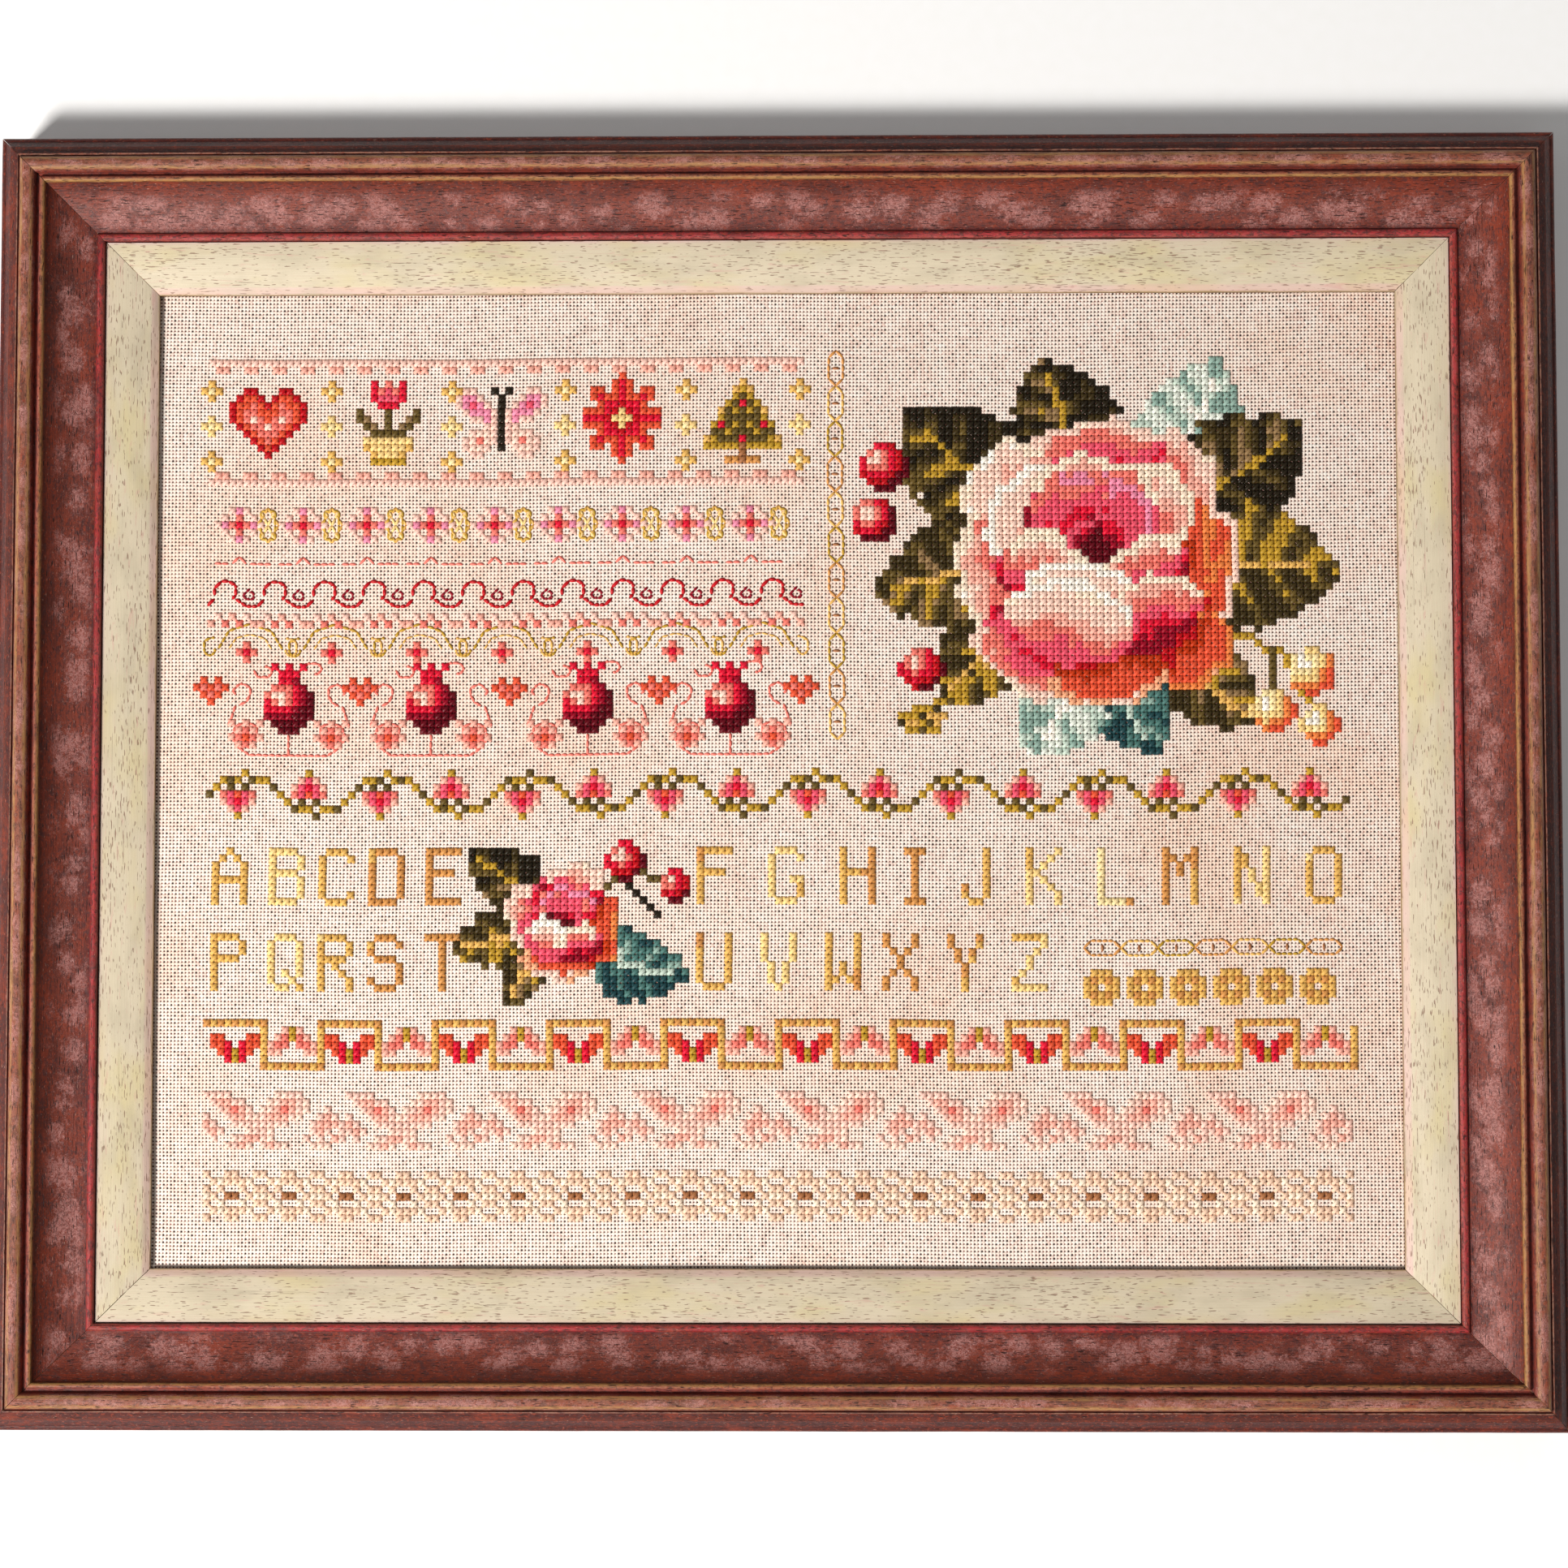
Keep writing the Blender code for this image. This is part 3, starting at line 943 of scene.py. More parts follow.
HOT = (F.CANDY, F.SALMON, F.ROSE, F.ROSE, F.GERANIUM, F.GERANIUM, F.CRIMSON)
HEART = (F.ROSE, F.ROSE, F.GERANIUM, F.GERANIUM, F.CRIMSON, F.CRIMSON, F.GARNET)
HONEY = (F.WHITE, F.BUTTER, F.STRAW, F.APRICOT, F.CORAL)
RED_BERRY = (F.SHELL, F.SALMON, F.GERANIUM, F.RED, F.GARNET)
NIGHT_LEAF = (F.BLACK_OLIVE, F.DARK_OLIVE, F.OLIVE, F.TAUPE, F.MUSTARD)
MOSS_LEAF = (F.BLACK_OLIVE, F.DARK_OLIVE, F.OLIVE, F.MUSTARD, F.MUSTARD)
OLIVE_LEAF = (F.DARK_OLIVE, F.OLIVE, F.TAUPE, F.MUSTARD, F.OCHRE)
GOLD_LEAF = (F.DARK_OLIVE, F.OLIVE, F.MUSTARD, F.MUSTARD, F.OCHRE)
FROST_LEAF = (F.SAGE_BLUE, F.AQUA, F.ICE, F.ICE, F.WHITE)
TEAL_LEAF = (F.DEEP_TEAL, F.TEAL, F.TEAL, F.SAGE_BLUE, F.AQUA)
GOLDS = (F.TAN_GOLD, F.OCHRE, F.STRAW, F.OCHRE, F.TAN_GOLD, F.TAN_GOLD, F.OCHRE, F.STRAW, F.BUTTER)


@dataclass
class Design:
    """The counted design: crosses in cells of two threads, and back stitches from hole to hole.

    A place is a column from the window's left edge and a row from its top edge, both in cells.
    """

    motif: str = ""
    crosses: dict = field(default_factory=dict)
    lines: list = field(default_factory=list)

    def put(self, col: float, row: float, shade: Floss) -> None:
        """Works one cross, over any that lies there."""
        self.crosses[(int(col), int(row))] = (self.motif, shade)

    def draw(self, drawing: str, col: float, row: float) -> None:
        """Works a small drawing of letters, one for each shade, from its top left corner."""
        for down, line in enumerate(drawing.split()):
            for across, letter in enumerate(line):
                if letter in KEY:
                    self.put(col + across, row + down, KEY[letter])

    def thread(self, points: list, shade: Floss, strands: int = 1) -> None:
        """Works back stitches along a line of points, each at most a cell long."""
        for (x0, y0), (x1, y1) in zip(points, points[1:]):
            count = max(1, math.ceil(max(abs(x1 - x0), abs(y1 - y0)) / 1.01))
            for i in range(count):
                a, b = i / count, (i + 1) / count
                ends = (x0 + (x1 - x0) * a, y0 + (y1 - y0) * a, x0 + (x1 - x0) * b, y0 + (y1 - y0) * b)
                self.lines.append((self.motif, ends, shade, strands))

    def curl(self, middle: Point, radii: Point, start: float, turn: float, shade: Floss,
             strands: int = 1) -> None:
        """Works back stitches along a spiral, from start degrees through turn degrees."""
        steps = max(3, math.ceil(abs(turn) / 40))
        points = []
        for i in range(steps + 1):
            angle = math.radians(start + turn * i / steps)
            reach = radii[0] + (radii[1] - radii[0]) * i / steps
            place = (middle[0] + reach * math.cos(angle), middle[1] - reach * math.sin(angle))
            hole = (round(2 * place[0]) / 2, round(2 * place[1]) / 2)
            if not points or hole != points[-1]:
                points.append(hole)
        self.thread(points, shade, strands)

    def stalk(self, points: list, shade: Floss) -> None:
        """Works a stalk of crosses along a line of places."""
        for (x0, y0), (x1, y1) in zip(points, points[1:]):
            steps = int(max(abs(x1 - x0), abs(y1 - y0)))
            for i in range(steps + 1):
                self.put(round(x0 + (x1 - x0) * i / steps), round(y0 + (y1 - y0) * i / steps), shade)


def cells_near(col: float, row: float, reach: float) -> list:
    """Lists the cells round a place, each as column, row and its offset from the place."""
    span = range(-int(reach) - 1, int(reach) + 2)
    return [(round(col) + over, round(row) + down, round(col) + over - col, round(row) + down - row)
            for down in span for over in span]


@dataclass(frozen=True)
class Petal:
    """One petal: an egg shape with a frilled edge, pale at its lip and deep towards its root.

    Args:
        place: its middle, from the rose's middle, as a share of the rose's size.
        radii: half its width and half its height, in the same way.
        lean: how many degrees it is turned.
        lip: which way its lip looks, in degrees.
        shades: its threads, from pale to deep.
        base: how deep its middle is, from 0 to 1.
        fade: how fast it deepens from lip to root.
        edge: how deep the lip's own rim is.
    """

    place: Point
    radii: Point
    lean: float
    lip: float
    shades: tuple
    base: float
    fade: float
    edge: float = 0.0

    def work(self, design: Design, col: float, row: float, size: float) -> None:
        """Works the petal of a rose of some size whose middle is at (col, row)."""
        lean, lip = math.radians(self.lean), math.radians(self.lip)
        wide, high = self.radii[0] * size, self.radii[1] * size
        middle = (col + self.place[0] * size, row + self.place[1] * size)
        for c, r, x, y in cells_near(*middle, max(wide, high) + 1):
            u = (x * math.cos(lean) - y * math.sin(lean)) / wide
            v = (x * math.sin(lean) + y * math.cos(lean)) / high
            angle = math.atan2(-y, x)
            frill = 1 + 0.05 * math.sin(4 * angle + self.lean) + 0.04 * math.sin(7 * angle + self.lip)
            rim = frill - (abs(u) ** 2.3 + abs(v) ** 2.3) ** (1 / 2.3)
            if rim < 0:
                continue
            depth = rim * min(wide, high)
            facing = math.cos(angle - lip)
            if depth < 1.15 and facing > 0.1:
                tone = 0.03 + 0.10 * (1 - facing) + self.edge
            else:
                towards = (x * math.cos(lip) - y * math.sin(lip)) / (0.5 * (wide + high))
                ripple = math.sin(4.5 * (x * math.sin(lip) + y * math.cos(lip)) / wide + self.lean)
                tone = self.base - self.fade * towards + 0.07 * ripple
                if depth < 1.0 and facing < -0.2:
                    tone += 0.16
            tone = min(max(tone + 0.05 * scatter(c, r), 0.0), 0.999)
            design.put(c, r, self.shades[int(tone * len(self.shades))])


@dataclass(frozen=True)
class Leaf:
    """A leaf with a notched edge, one half in shade, and pale veins that lean towards its tip.

    Args:
        angle: where its tip points, in degrees.
        length: how many cells long it is.
        half_width: half its width in cells, where it is widest.
        shades: its threads, from deep to pale.
        bend: how far its rib bows sideways, in cells.
        veins: how many veins leave the rib on each side.
    """

    angle: float
    length: float
    half_width: float
    shades: tuple
    bend: float = 0.0
    veins: int = 4

    def work(self, design: Design, col: float, row: float) -> None:
        """Works the leaf from its stalk end."""
        turn = math.radians(self.angle)
        lean_x, lean_y = math.cos(turn), -math.sin(turn)
        for c, r, x, y in cells_near(col, row, self.length + self.half_width):
            along = (x * lean_x + y * lean_y) / self.length
            if not 0 <= along <= 1:
                continue
            across = -x * lean_y + y * lean_x - self.bend * math.sin(math.pi * along)
            width = self.half_width * math.sin(math.pi * along**0.70) ** 0.72
            tooth = 1 - 0.16 * ((along * self.veins * 1.3) % 1)
            share = abs(across) / max(width * tooth, 0.45)
            if share > 1:
                continue
            vein = along * self.veins - (0.85 if across > 0 else 0.65) * share
            tone = 0.44 + 0.36 * math.cos(2 * math.pi * vein) * (1 - 0.5 * share)
            tone += (-0.20 if across > 0 else 0.10) - 0.22 * share**3 - 0.10 * along
            if abs(across) < 0.5 and along < 0.85:
                tone = 0.85
            tone = min(max(tone + 0.06 * scatter(c, r), 0.0), 0.999)
            design.put(c, r, self.shades[int(tone * len(self.shades))])


@dataclass(frozen=True)
class Berry:
    """A round fruit or bud, lit from its upper left."""

    radius: float
    shades: tuple

    def work(self, design: Design, col: float, row: float) -> None:
        """Works the berry round its middle."""
        for c, r, x, y in cells_near(col, row, self.radius):
            if math.hypot(x, y) > self.radius:
                continue
            tone = math.hypot(x + 0.35 * self.radius, y + 0.35 * self.radius) / (1.45 * self.radius)
            design.put(c, r, self.shades[min(int(tone * len(self.shades)), len(self.shades) - 1)])


LARGE_ROSE_SIZE = 17.6
SMALL_ROSE_SIZE = 8.0
LARGE_ROSE = (
    Petal((0.74, 0.10), (0.36, 0.54), -8, 8, EMBER, 0.72, 0.46),
    Petal((0.52, -0.56), (0.46, 0.38), 40, 42, ROSY, 0.64, 0.50, 0.14),
    Petal((-0.04, -0.82), (0.54, 0.30), 8, 95, ROSY, 0.66, 0.50, 0.14),
    Petal((-0.66, -0.52), (0.40, 0.42), 45, 140, BLUSHING, 0.74, 0.50, 0.10),
    Petal((-0.86, 0.16), (0.28, 0.46), 12, 190, BLUSHING, 0.76, 0.45, 0.14),
    Petal((0.70, 0.68), (0.36, 0.34), 40, 325, FLAME, 0.66, 0.50, 0.14),
    Petal((-0.56, 0.74), (0.48, 0.32), -36, 232, ROSY, 0.70, 0.45, 0.14),
    Petal((0.10, 0.88), (0.50, 0.28), 6, 272, EMBER, 0.74, 0.46, 0.10),
    Petal((0.56, 0.08), (0.34, 0.64), -10, 15, FLAME, 0.74, 0.50, 0.20),
    Petal((0.38, -0.28), (0.34, 0.50), -24, 25, ROSY, 0.66, 0.58),
    Petal((-0.46, -0.22), (0.42, 0.50), 20, 160, BLUSHING, 0.72, 0.50),
    Petal((-0.06, -0.42), (0.52, 0.42), 0, 84, ROSY, 0.70, 0.50),
    Petal((-0.08, -0.31), (0.46, 0.40), 0, 88, HOT, 0.52, 0.46, 0.10),
    Petal((-0.26, -0.22), (0.27, 0.27), 30, 130, HEART, 0.70, 0.55, 0.02),
    Petal((0.14, -0.24), (0.29, 0.36), -28, 35, HOT, 0.74, 0.55, 0.02),
    Petal((-0.05, -0.25), (0.30, 0.26), -10, 95, HEART, 0.62, 0.60, 0.02),
    Petal((0.07, -0.16), (0.22, 0.22), 25, 35, HEART, 0.74, 0.70, 0.02),
    Petal((-0.11, -0.13), (0.16, 0.18), 15, 150, HEART, 0.86, 0.60, 0.10),
    Petal((-0.42, 0.14), (0.40, 0.34), -36, 62, ROSY, 0.54, 0.52),
    Petal((0.34, 0.15), (0.42, 0.28), 34, 118, ROSY, 0.66, 0.58),
    Petal((-0.12, 0.24), (0.44, 0.22), -10, 88, BLUSHING, 0.60, 0.52),
    Petal((0.38, 0.44), (0.44, 0.28), 26, 104, ROSY, 0.58, 0.52),
    Petal((-0.24, 0.50), (0.50, 0.33), -10, 82, BLUSHING, 0.60, 0.58),
)
SMALL_ROSE = (
    Petal((0.50, 0.15), (0.48, 0.68), -8, 8, FLAME, 0.66, 0.45, 0.20),
    Petal((0.10, -0.62), (0.62, 0.40), 10, 80, ROSY, 0.66, 0.50, 0.14),
    Petal((-0.60, -0.10), (0.42, 0.62), 10, 170, ROSY, 0.66, 0.50, 0.14),
    Petal((-0.10, 0.62), (0.62, 0.40), -6, 250, EMBER, 0.66, 0.50, 0.10),
    Petal((0.00, -0.20), (0.52, 0.46), 0, 90, HOT, 0.60, 0.50, 0.05),
    Petal((0.02, -0.10), (0.30, 0.26), 20, 60, HEART, 0.70, 0.60, 0.02),
    Petal((-0.30, 0.28), (0.44, 0.34), -30, 70, BLUSHING, 0.62, 0.55),
    Petal((0.28, 0.36), (0.42, 0.32), 28, 110, ROSY, 0.60, 0.55),
)


def large_spray(design: Design, col: float, row: float) -> None:
    """Works the large rose with its leaves, buds and berries."""
    design.motif = "large_leaves"
    leaves = (
        (9, -12, Leaf(64, 18, 8.5, FROST_LEAF, 1.2)),
        (-4, -12, Leaf(104, 17, 8.5, NIGHT_LEAF, 1.0)),
        (-11, -9, Leaf(142, 20, 9.0, MOSS_LEAF, -1.5)),
        (-13, 3, Leaf(186, 19, 8.5, OLIVE_LEAF, 1.5)),
        (12, -8, Leaf(34, 20, 9.0, NIGHT_LEAF, 1.0)),
        (13, 3, Leaf(2, 21, 9.5, GOLD_LEAF, -1.5)),
        (-12, 11, Leaf(222, 14, 6.5, GOLD_LEAF, 1.0, 3)),
        (4, 15, Leaf(-74, 13, 6.5, TEAL_LEAF, 1.5, 3)),
        (-4, 15, Leaf(-118, 14, 7.0, FROST_LEAF, -1.5, 3)),
        (11, 12, Leaf(-46, 16, 6.5, OLIVE_LEAF, 1.0, 3)),
        (-22, 22, Leaf(190, 7, 2.6, GOLD_LEAF, 0.0, 2)),
    )
    for over, down, leaf in leaves:
        leaf.work(design, col + over, row + down)
    design.stalk([(col + 18, row + 10), (col + 26, row + 14), (col + 29, row + 20)], F.MUSTARD)
    design.stalk([(col + 24, row + 13), (col + 24, row + 20)], F.OLIVE)
    design.stalk([(col - 17, row - 2), (col - 24, row - 7), (col - 28, row - 12)], F.OLIVE)
    design.stalk([(col - 28, row + 22), (col - 22, row + 20), (col - 17, row + 16)], F.MUSTARD)
    berries = (
        (29.5, 16, Berry(3.3, HONEY)),
        (24, 21.5, Berry(3.1, HONEY)),
        (30.5, 23.5, Berry(2.6, HONEY)),
        (-30, -13, Berry(3.2, RED_BERRY)),
        (-31.5, -5.5, Berry(3.1, RED_BERRY)),
        (-25, 15.5, Berry(3.1, RED_BERRY)),
    )
    for over, down, berry in berries:
        berry.work(design, col + over, row + down)
    design.motif = "large_rose"
    for petal in LARGE_ROSE:
        petal.work(design, col, row, LARGE_ROSE_SIZE)


def small_spray(design: Design, col: float, row: float) -> None:
    """Works the little rose between the letters."""
    design.motif = "small_rose"
    Leaf(146, 12, 4.8, NIGHT_LEAF, 0.5, 3).work(design, col - 4, row - 3)
    Leaf(190, 11, 4.4, GOLD_LEAF, 0.5, 3).work(design, col - 5, row + 2)
    Leaf(236, 9, 3.6, OLIVE_LEAF, 0.5, 3).work(design, col - 3, row + 4)
    Leaf(-14, 14, 5.6, TEAL_LEAF, 0.8, 4).work(design, col + 4, row + 4)
    design.stalk([(col + 4, row - 4), (col + 10, row - 7), (col + 15, row - 5)], F.OLIVE)
    design.stalk([(col + 8, row - 6), (col + 13, row - 1)], F.BLACK_OLIVE)
    Berry(2.6, RED_BERRY).work(design, col + 8.5, row - 8.5)
    Berry(2.1, RED_BERRY).work(design, col + 15.5, row - 5)
    for petal in SMALL_ROSE:
        petal.work(design, col, row, SMALL_ROSE_SIZE)


LETTERS = {
    "A": "..#.. .#.#. #...# #...# ##### #...# #...# #...#",
    "B": "####. #...# #...# ####. #...# #...# #...# ####.",
    "C": ".###. #...# #.... #.... #.... #.... #...# .###.",
    "D": "####. #...# #...# #...# #...# #...# #...# ####.",
    "E": "##### #.... #.... ####. #.... #.... #.... #####",
    "F": "##### #.... #.... ####. #.... #.... #.... #....",
    "G": ".###. #...# #.... #.... #..## #...# #...# .###.",
    "H": "#...# #...# #...# ##### #...# #...# #...# #...#",
    "I": "### .#. .#. .#. .#. .#. .#. ###",
    "J": "...# ...# ...# ...# ...# #..# #..# .##.",
    "K": "#...# #..#. #.#.. ##... #.#.. #..#. #...# #...#",
    "L": "#.... #.... #.... #.... #.... #.... #.... #####",
    "M": "#...# ##.## #.#.# #.#.# #...# #...# #...# #...#",
    "N": "#...# ##..# ##..# #.#.# #.#.# #..## #..## #...#",
    "O": ".###. #...# #...# #...# #...# #...# #...# .###.",
    "P": "####. #...# #...# ####. #.... #.... #.... #....",
    "Q": ".###. #...# #...# #...# #...# #.#.# #..#. .##.#",
    "R": "####. #...# #...# ####. #.#.. #..#. #...# #...#",
    "S": ".###. #...# #.... .###. ....# ....# #...# .###.",
    "T": "##### ..#.. ..#.. ..#.. ..#.. ..#.. ..#.. ..#..",
    "U": "#...# #...# #...# #...# #...# #...# #...# .###.",
    "V": "#...# #...# #...# #...# .#.#. .#.#. .#.#. ..#..",
    "W": "#...# #...# #...# #...# #.#.# #.#.# ##.## #...#",
    "X": "#...# #...# .#.#. ..#.. ..#.. .#.#. #...# #...#",
    "Y": "#...# #...# .#.#. .#.#. ..#.. ..#.. ..#.. ..#..",
    "Z": "##### ....# ...#. ..#.. ..#.. .#... #.... #####",
}


def row_of_letters(design: Design, letters: str, col: float, row: int, end: float) -> None:
    """Works plain block letters, spread evenly from col to end, in one variegated gold thread."""
    design.motif = "letters"
    widths = [len(LETTERS[letter].split()[0]) for letter in letters]
    space = (end - col - sum(widths)) / (len(letters) - 1)
    place = col
    for letter, width in zip(letters, widths):
        for down, line in enumerate(LETTERS[letter].split()):
            for across, mark in enumerate(line):
                if mark == "#":
                    x = round(place) + across
                    design.put(x, row + down, GOLDS[int((x * 0.13 + down * 0.06) % len(GOLDS))])
        place += width + space


HEART_DRAWING = """
    ..RR...RR..
    .RccR.RccR.
    RccmcRcmccR
    RcmmcccmmcR
    RcmsmcmsmcR
    .RcmmsmmcR.
    ..RcmmmcR..
    ...RcmcR...
    ....RcR....
    .....R.....
"""
TULIP_DRAWING = """
    ...g.m.g...
    ...gmrmg...
    ...grrrg...
    ....ggg....
    .O...O...O.
    .OT..O..TO.
    ..OT.O.TO..
    ...OOOOO...
    ..yyyyyyy..
    ..oyyyyyo..
    ...oyyyo...
    ...MMMMM...
"""
BUTTERFLY_DRAWING = """
    .pp..K.K..pp.
    pnnp..K..pnnp
    pnrnp.K.pnrnp
    .pnnnpKpnnnp.
    ..ppnpKpnpp..
    ....ppKpp....
    ..psspKpssp..
    .psmspKpsmsp.
    .pssp.K.pssp.
    ..pp.....pp..
"""
STAR_DRAWING = """
    .....c.....
    ....cgc....
    .cc.cgc.cc.
    .cgccgccgc.
    ..cggRggc..
    cccgRyRgccc
    gggRyyyRggg
    cccgRyRgccc
    ..cggRggc..
    .cgccgccgc.
    .cc.cgc.cc.
    ....cgc....
    .....c.....
"""
TREE_DRAWING = """
    .....o.....
    ....oMo....
    ....MOM....
    ...MOgOM...
    ..oOMOMOo..
    ..MOOOOOM..
    .MgOMOMOgM.
    .OOMOOOMOO.
    oMOOOgOOOMo
    MMMMMDMMMMM
    .....D.....
    ...NNDNN...
"""


PANEL_DRAWINGS = (HEART_DRAWING, TULIP_DRAWING, BUTTERFLY_DRAWING, STAR_DRAWING, TREE_DRAWING)


def motif_panel(design: Design, col: int, row: int, width: int) -> None:
    """Works five small motifs in a row, with little gold crosses between them and pink borders."""
    design.motif = "motif_panel"
    for over in range(width):
        design.put(col + over, row, F.PALE_PINK)
        design.put(col + over, row + 17, F.PALE_PINK)
        if over % 4 in (1, 2):
            design.put(col + over, row + 1, F.BLUSH)
            design.put(col + over, row + 16, F.BLUSH)
    step = width / len(PANEL_DRAWINGS)
    for i, drawing in enumerate(PANEL_DRAWINGS):
        lines = drawing.split()
        middle = col + (i + 0.5) * step
        design.draw(drawing, round(middle - len(lines[0]) / 2), row + 9 - (len(lines) + 1) // 2)
    for i in range(len(PANEL_DRAWINGS) + 1):
        middle = round(col + i * step - (1 if i == len(PANEL_DRAWINGS) else 0))
        for j in range(3):
            gold_cross = ".y. yYy .y." if j % 2 else ".o. oYo .o."
            design.draw(gold_cross, middle - 1, row + 3 + 5 * j)


def knot_band(design: Design, col: int, row: int, width: int) -> None:
    """Works gold knots in back stitch between pink flowers."""
    design.motif = "knot_band"
    for i in range(width // 9):
        x = col + 9 * i
        design.draw("..pnp.. .p.m.p. pnmgmnp .p.m.p. ..pnp..", x, row)
        x, y = x + 7.5, row + 2.5
        design.thread([(x - 1, y - 2), (x + 1, y - 2), (x + 1, y + 2), (x - 1, y + 2), (x - 1, y - 2)],
                      F.MUSTARD, 2)
        design.thread([(x, y - 2.5), (x + 1.5, y), (x, y + 2.5), (x - 1.5, y), (x, y - 2.5)], F.OCHRE, 2)
        design.thread([(x - 1, y - 2), (x + 1, y + 2)], F.STRAW, 2)
        design.thread([(x + 1, y - 2), (x - 1, y + 2)], F.STRAW, 2)


def dash_band(design: Design, col: int, row: int, width: int) -> None:
    """Works a salmon running stitch that peaks at even steps."""
    design.motif = "curl_bands"
    for i in range(width // 9):
        x = col + 9 * i
        design.thread([(x, row + 1), (x + 2, row + 1)], F.SALMON, 2)
        design.thread([(x + 2.5, row + 1), (x + 3.5, row), (x + 4.5, row + 1)], F.SALMON, 2)
        design.thread([(x + 5, row + 1), (x + 8, row + 1)], F.SALMON, 2)


def wave_band(design: Design, col: int, row: int, width: int) -> None:
    """Works a dark red wave with a ring in each dip, and small pink crosses under it."""
    design.motif = "curl_bands"
    for i in range(width // 7):
        x = col + 7 * i
        design.curl((x + 3, row + 2), (2.0, 1.0), 200, -260, F.RED, 3)
        design.curl((x + 6, row + 2.5), (1.0, 0.5), 90, 360, F.CRIMSON, 2)
        design.thread([(x, row + 4), (x + 1, row + 3)], F.RED, 3)
        design.thread([(x + 4, row + 3), (x + 5.5, row + 4), (x + 7, row + 4)], F.RED, 3)
        design.draw(".p.b.p. b.m.m.b", x, row + 5)


def arc_band(design: Design, col: int, row: int, width: int) -> None:
    """Works gold arcs with curled feet and a pink bead under each."""
    design.motif = "curl_bands"
    for i in range(width // 12):
        x = col + 12 * i
        design.curl((x + 6, row + 4), (4.5, 4.5), 170, -160, F.MUSTARD, 2)
        design.curl((x + 6, row + 4), (3.0, 3.0), 165, -150, F.OCHRE)
        design.curl((x + 0.5, row + 3), (1.5, 0.6), 60, 300, F.MUSTARD, 2)
        design.curl((x + 11.5, row + 3), (1.5, 0.6), 120, -300, F.OCHRE, 2)
        design.draw(".m. mgm .m.", x + 4.5, row + 2)


def fruit_band(design: Design, col: int, row: int, width: int) -> None:
    """Works dark red pomegranates on salmon scrolls, with hearts between them."""
    design.motif = "fruit_band"
    step = width / 4
    for i in range(4):
        x = round(col + (i + 0.5) * step)
        fruit = Berry(3.7, (F.SHELL, F.SALMON, F.GERANIUM, F.CRIMSON, F.GARNET, F.GARNET))
        fruit.work(design, x, row + 4.5)
        design.draw("g.g.g .ggg.", x - 2, row - 1)
        design.thread([(x + 0.5, row + 9), (x + 0.5, row + 12)], F.SALMON, 2)
        for side in (-1, 1):
            middle = x + 0.5 + side * 5.5
            design.curl((middle, row + 9), (3.0, 0.8), 270, side * 300, F.SALMON, 2)
            design.thread([(x + 0.5, row + 12), (middle, row + 12)], F.SALMON, 2)
            design.curl((x + 0.5 + side * 7, row + 3), (2.0, 0.6), 270, -side * 300, F.SALMON, 2)
            design.curl((x + 0.5 + side * 3.5, row), (1.5, 0.5), 180, -side * 270, F.SALMON, 2)
            design.thread([(middle + side * 3, row + 8), (middle + side * 2, row + 5)], F.SALMON, 2)
            design.draw("b.b.b .bmb. bmcmb .bmb.", x - 2 + side * 6, row + 7)
    for i in range(5):
        x = round(col + i * step) - (1 if i == 4 else 0)
        design.draw(".c.c. cmcmc .cmc. ..c..", x - 2, row + 1)


def chain(design: Design, start: Point, length: float, upright: bool) -> None:
    """Works a chain of gold ovals in back stitch, down or to the right."""
    design.motif = "chains"
    count = round(length / 5)
    step = length / count

    def turned(across: float, along: float) -> Point:
        """Puts a point of the chain on the cloth."""
        return (start[0] + across, start[1] + along) if upright else (start[0] + along, start[1] + across)

    for i in range(count):
        a = i * step
        shade = (F.TAN_GOLD, F.OCHRE, F.MUSTARD)[i % 3]
        for side in (-1, 1):
            outline = [(0, a), (side, a + 1), (side, a + step - 1), (0, a + step)]
            design.thread([turned(*point) for point in outline], shade, 2)
        design.thread([turned(-0.5, a + step / 2), turned(0.5, a + step / 2)], F.BROWN, 2)


def bud_vine(design: Design, col: int, row: int, width: int) -> None:
    """Works a waving olive vine with a pink bud in each bend."""
    design.motif = "bud_vine"
    for over in range(width):
        wave = math.sin(2 * math.pi * over / 20)
        design.put(col + over, row + 3 - round(2.6 * wave), F.MUSTARD if over % 3 else F.OLIVE)
    for i in range(width // 10):
        x = col + 10 * i
        if i % 2 == 0:
            design.draw("..O.O.. .mrcrm. .brgrb. ..brb.. ...M...", x + 1, row + 2)
        else:
            design.draw("...M... ..brb.. .brgrb. .mrcrm. ..O.O..", x + 1, row)


def leaf_meander(design: Design, col: int, row: int, width: int) -> None:
    """Works a squared gold meander with a pair of coral leaves in each turn."""
    design.motif = "leaf_meander"
    for i in range(width // 16):
        x = col + 16 * i
        for over in range(9):
            design.put(x + over, row, F.OCHRE if over % 2 else F.TAN_GOLD)
            design.put(x + 8 + over, row + 6, F.OCHRE if over % 2 else F.TAN_GOLD)
        for down in range(1, 6):
            design.put(x + 8, row + down, F.OCHRE)
            design.put(x + 16, row + down, F.OCHRE)
        design.draw("cc...cc ccg.gcc .cgMgc. ..gMg..", x + 1, row + 2)
        design.draw("..bMb.. .bmMmb. bmm.mmb bb...bb", x + 9, row + 1)


def pale_band(design: Design, col: int, row: int, width: int) -> None:
    """Works a pale pink band of leaning leaves."""
    design.motif = "pale_band"
    for i in range(width // 20):
        design.draw(
            "pppp......sspp...... .pbbpp...spbbps..... ..pbmbp.spbmbps..p.. "
            "p..pbbpspbbbps..pbp. bp..pppppppp...pbbbp pbp...spps.....pbp.p "
            ".p..spbbps....p.p.bp ...spbs.sbps...sss..",
            col + 20 * i, row)


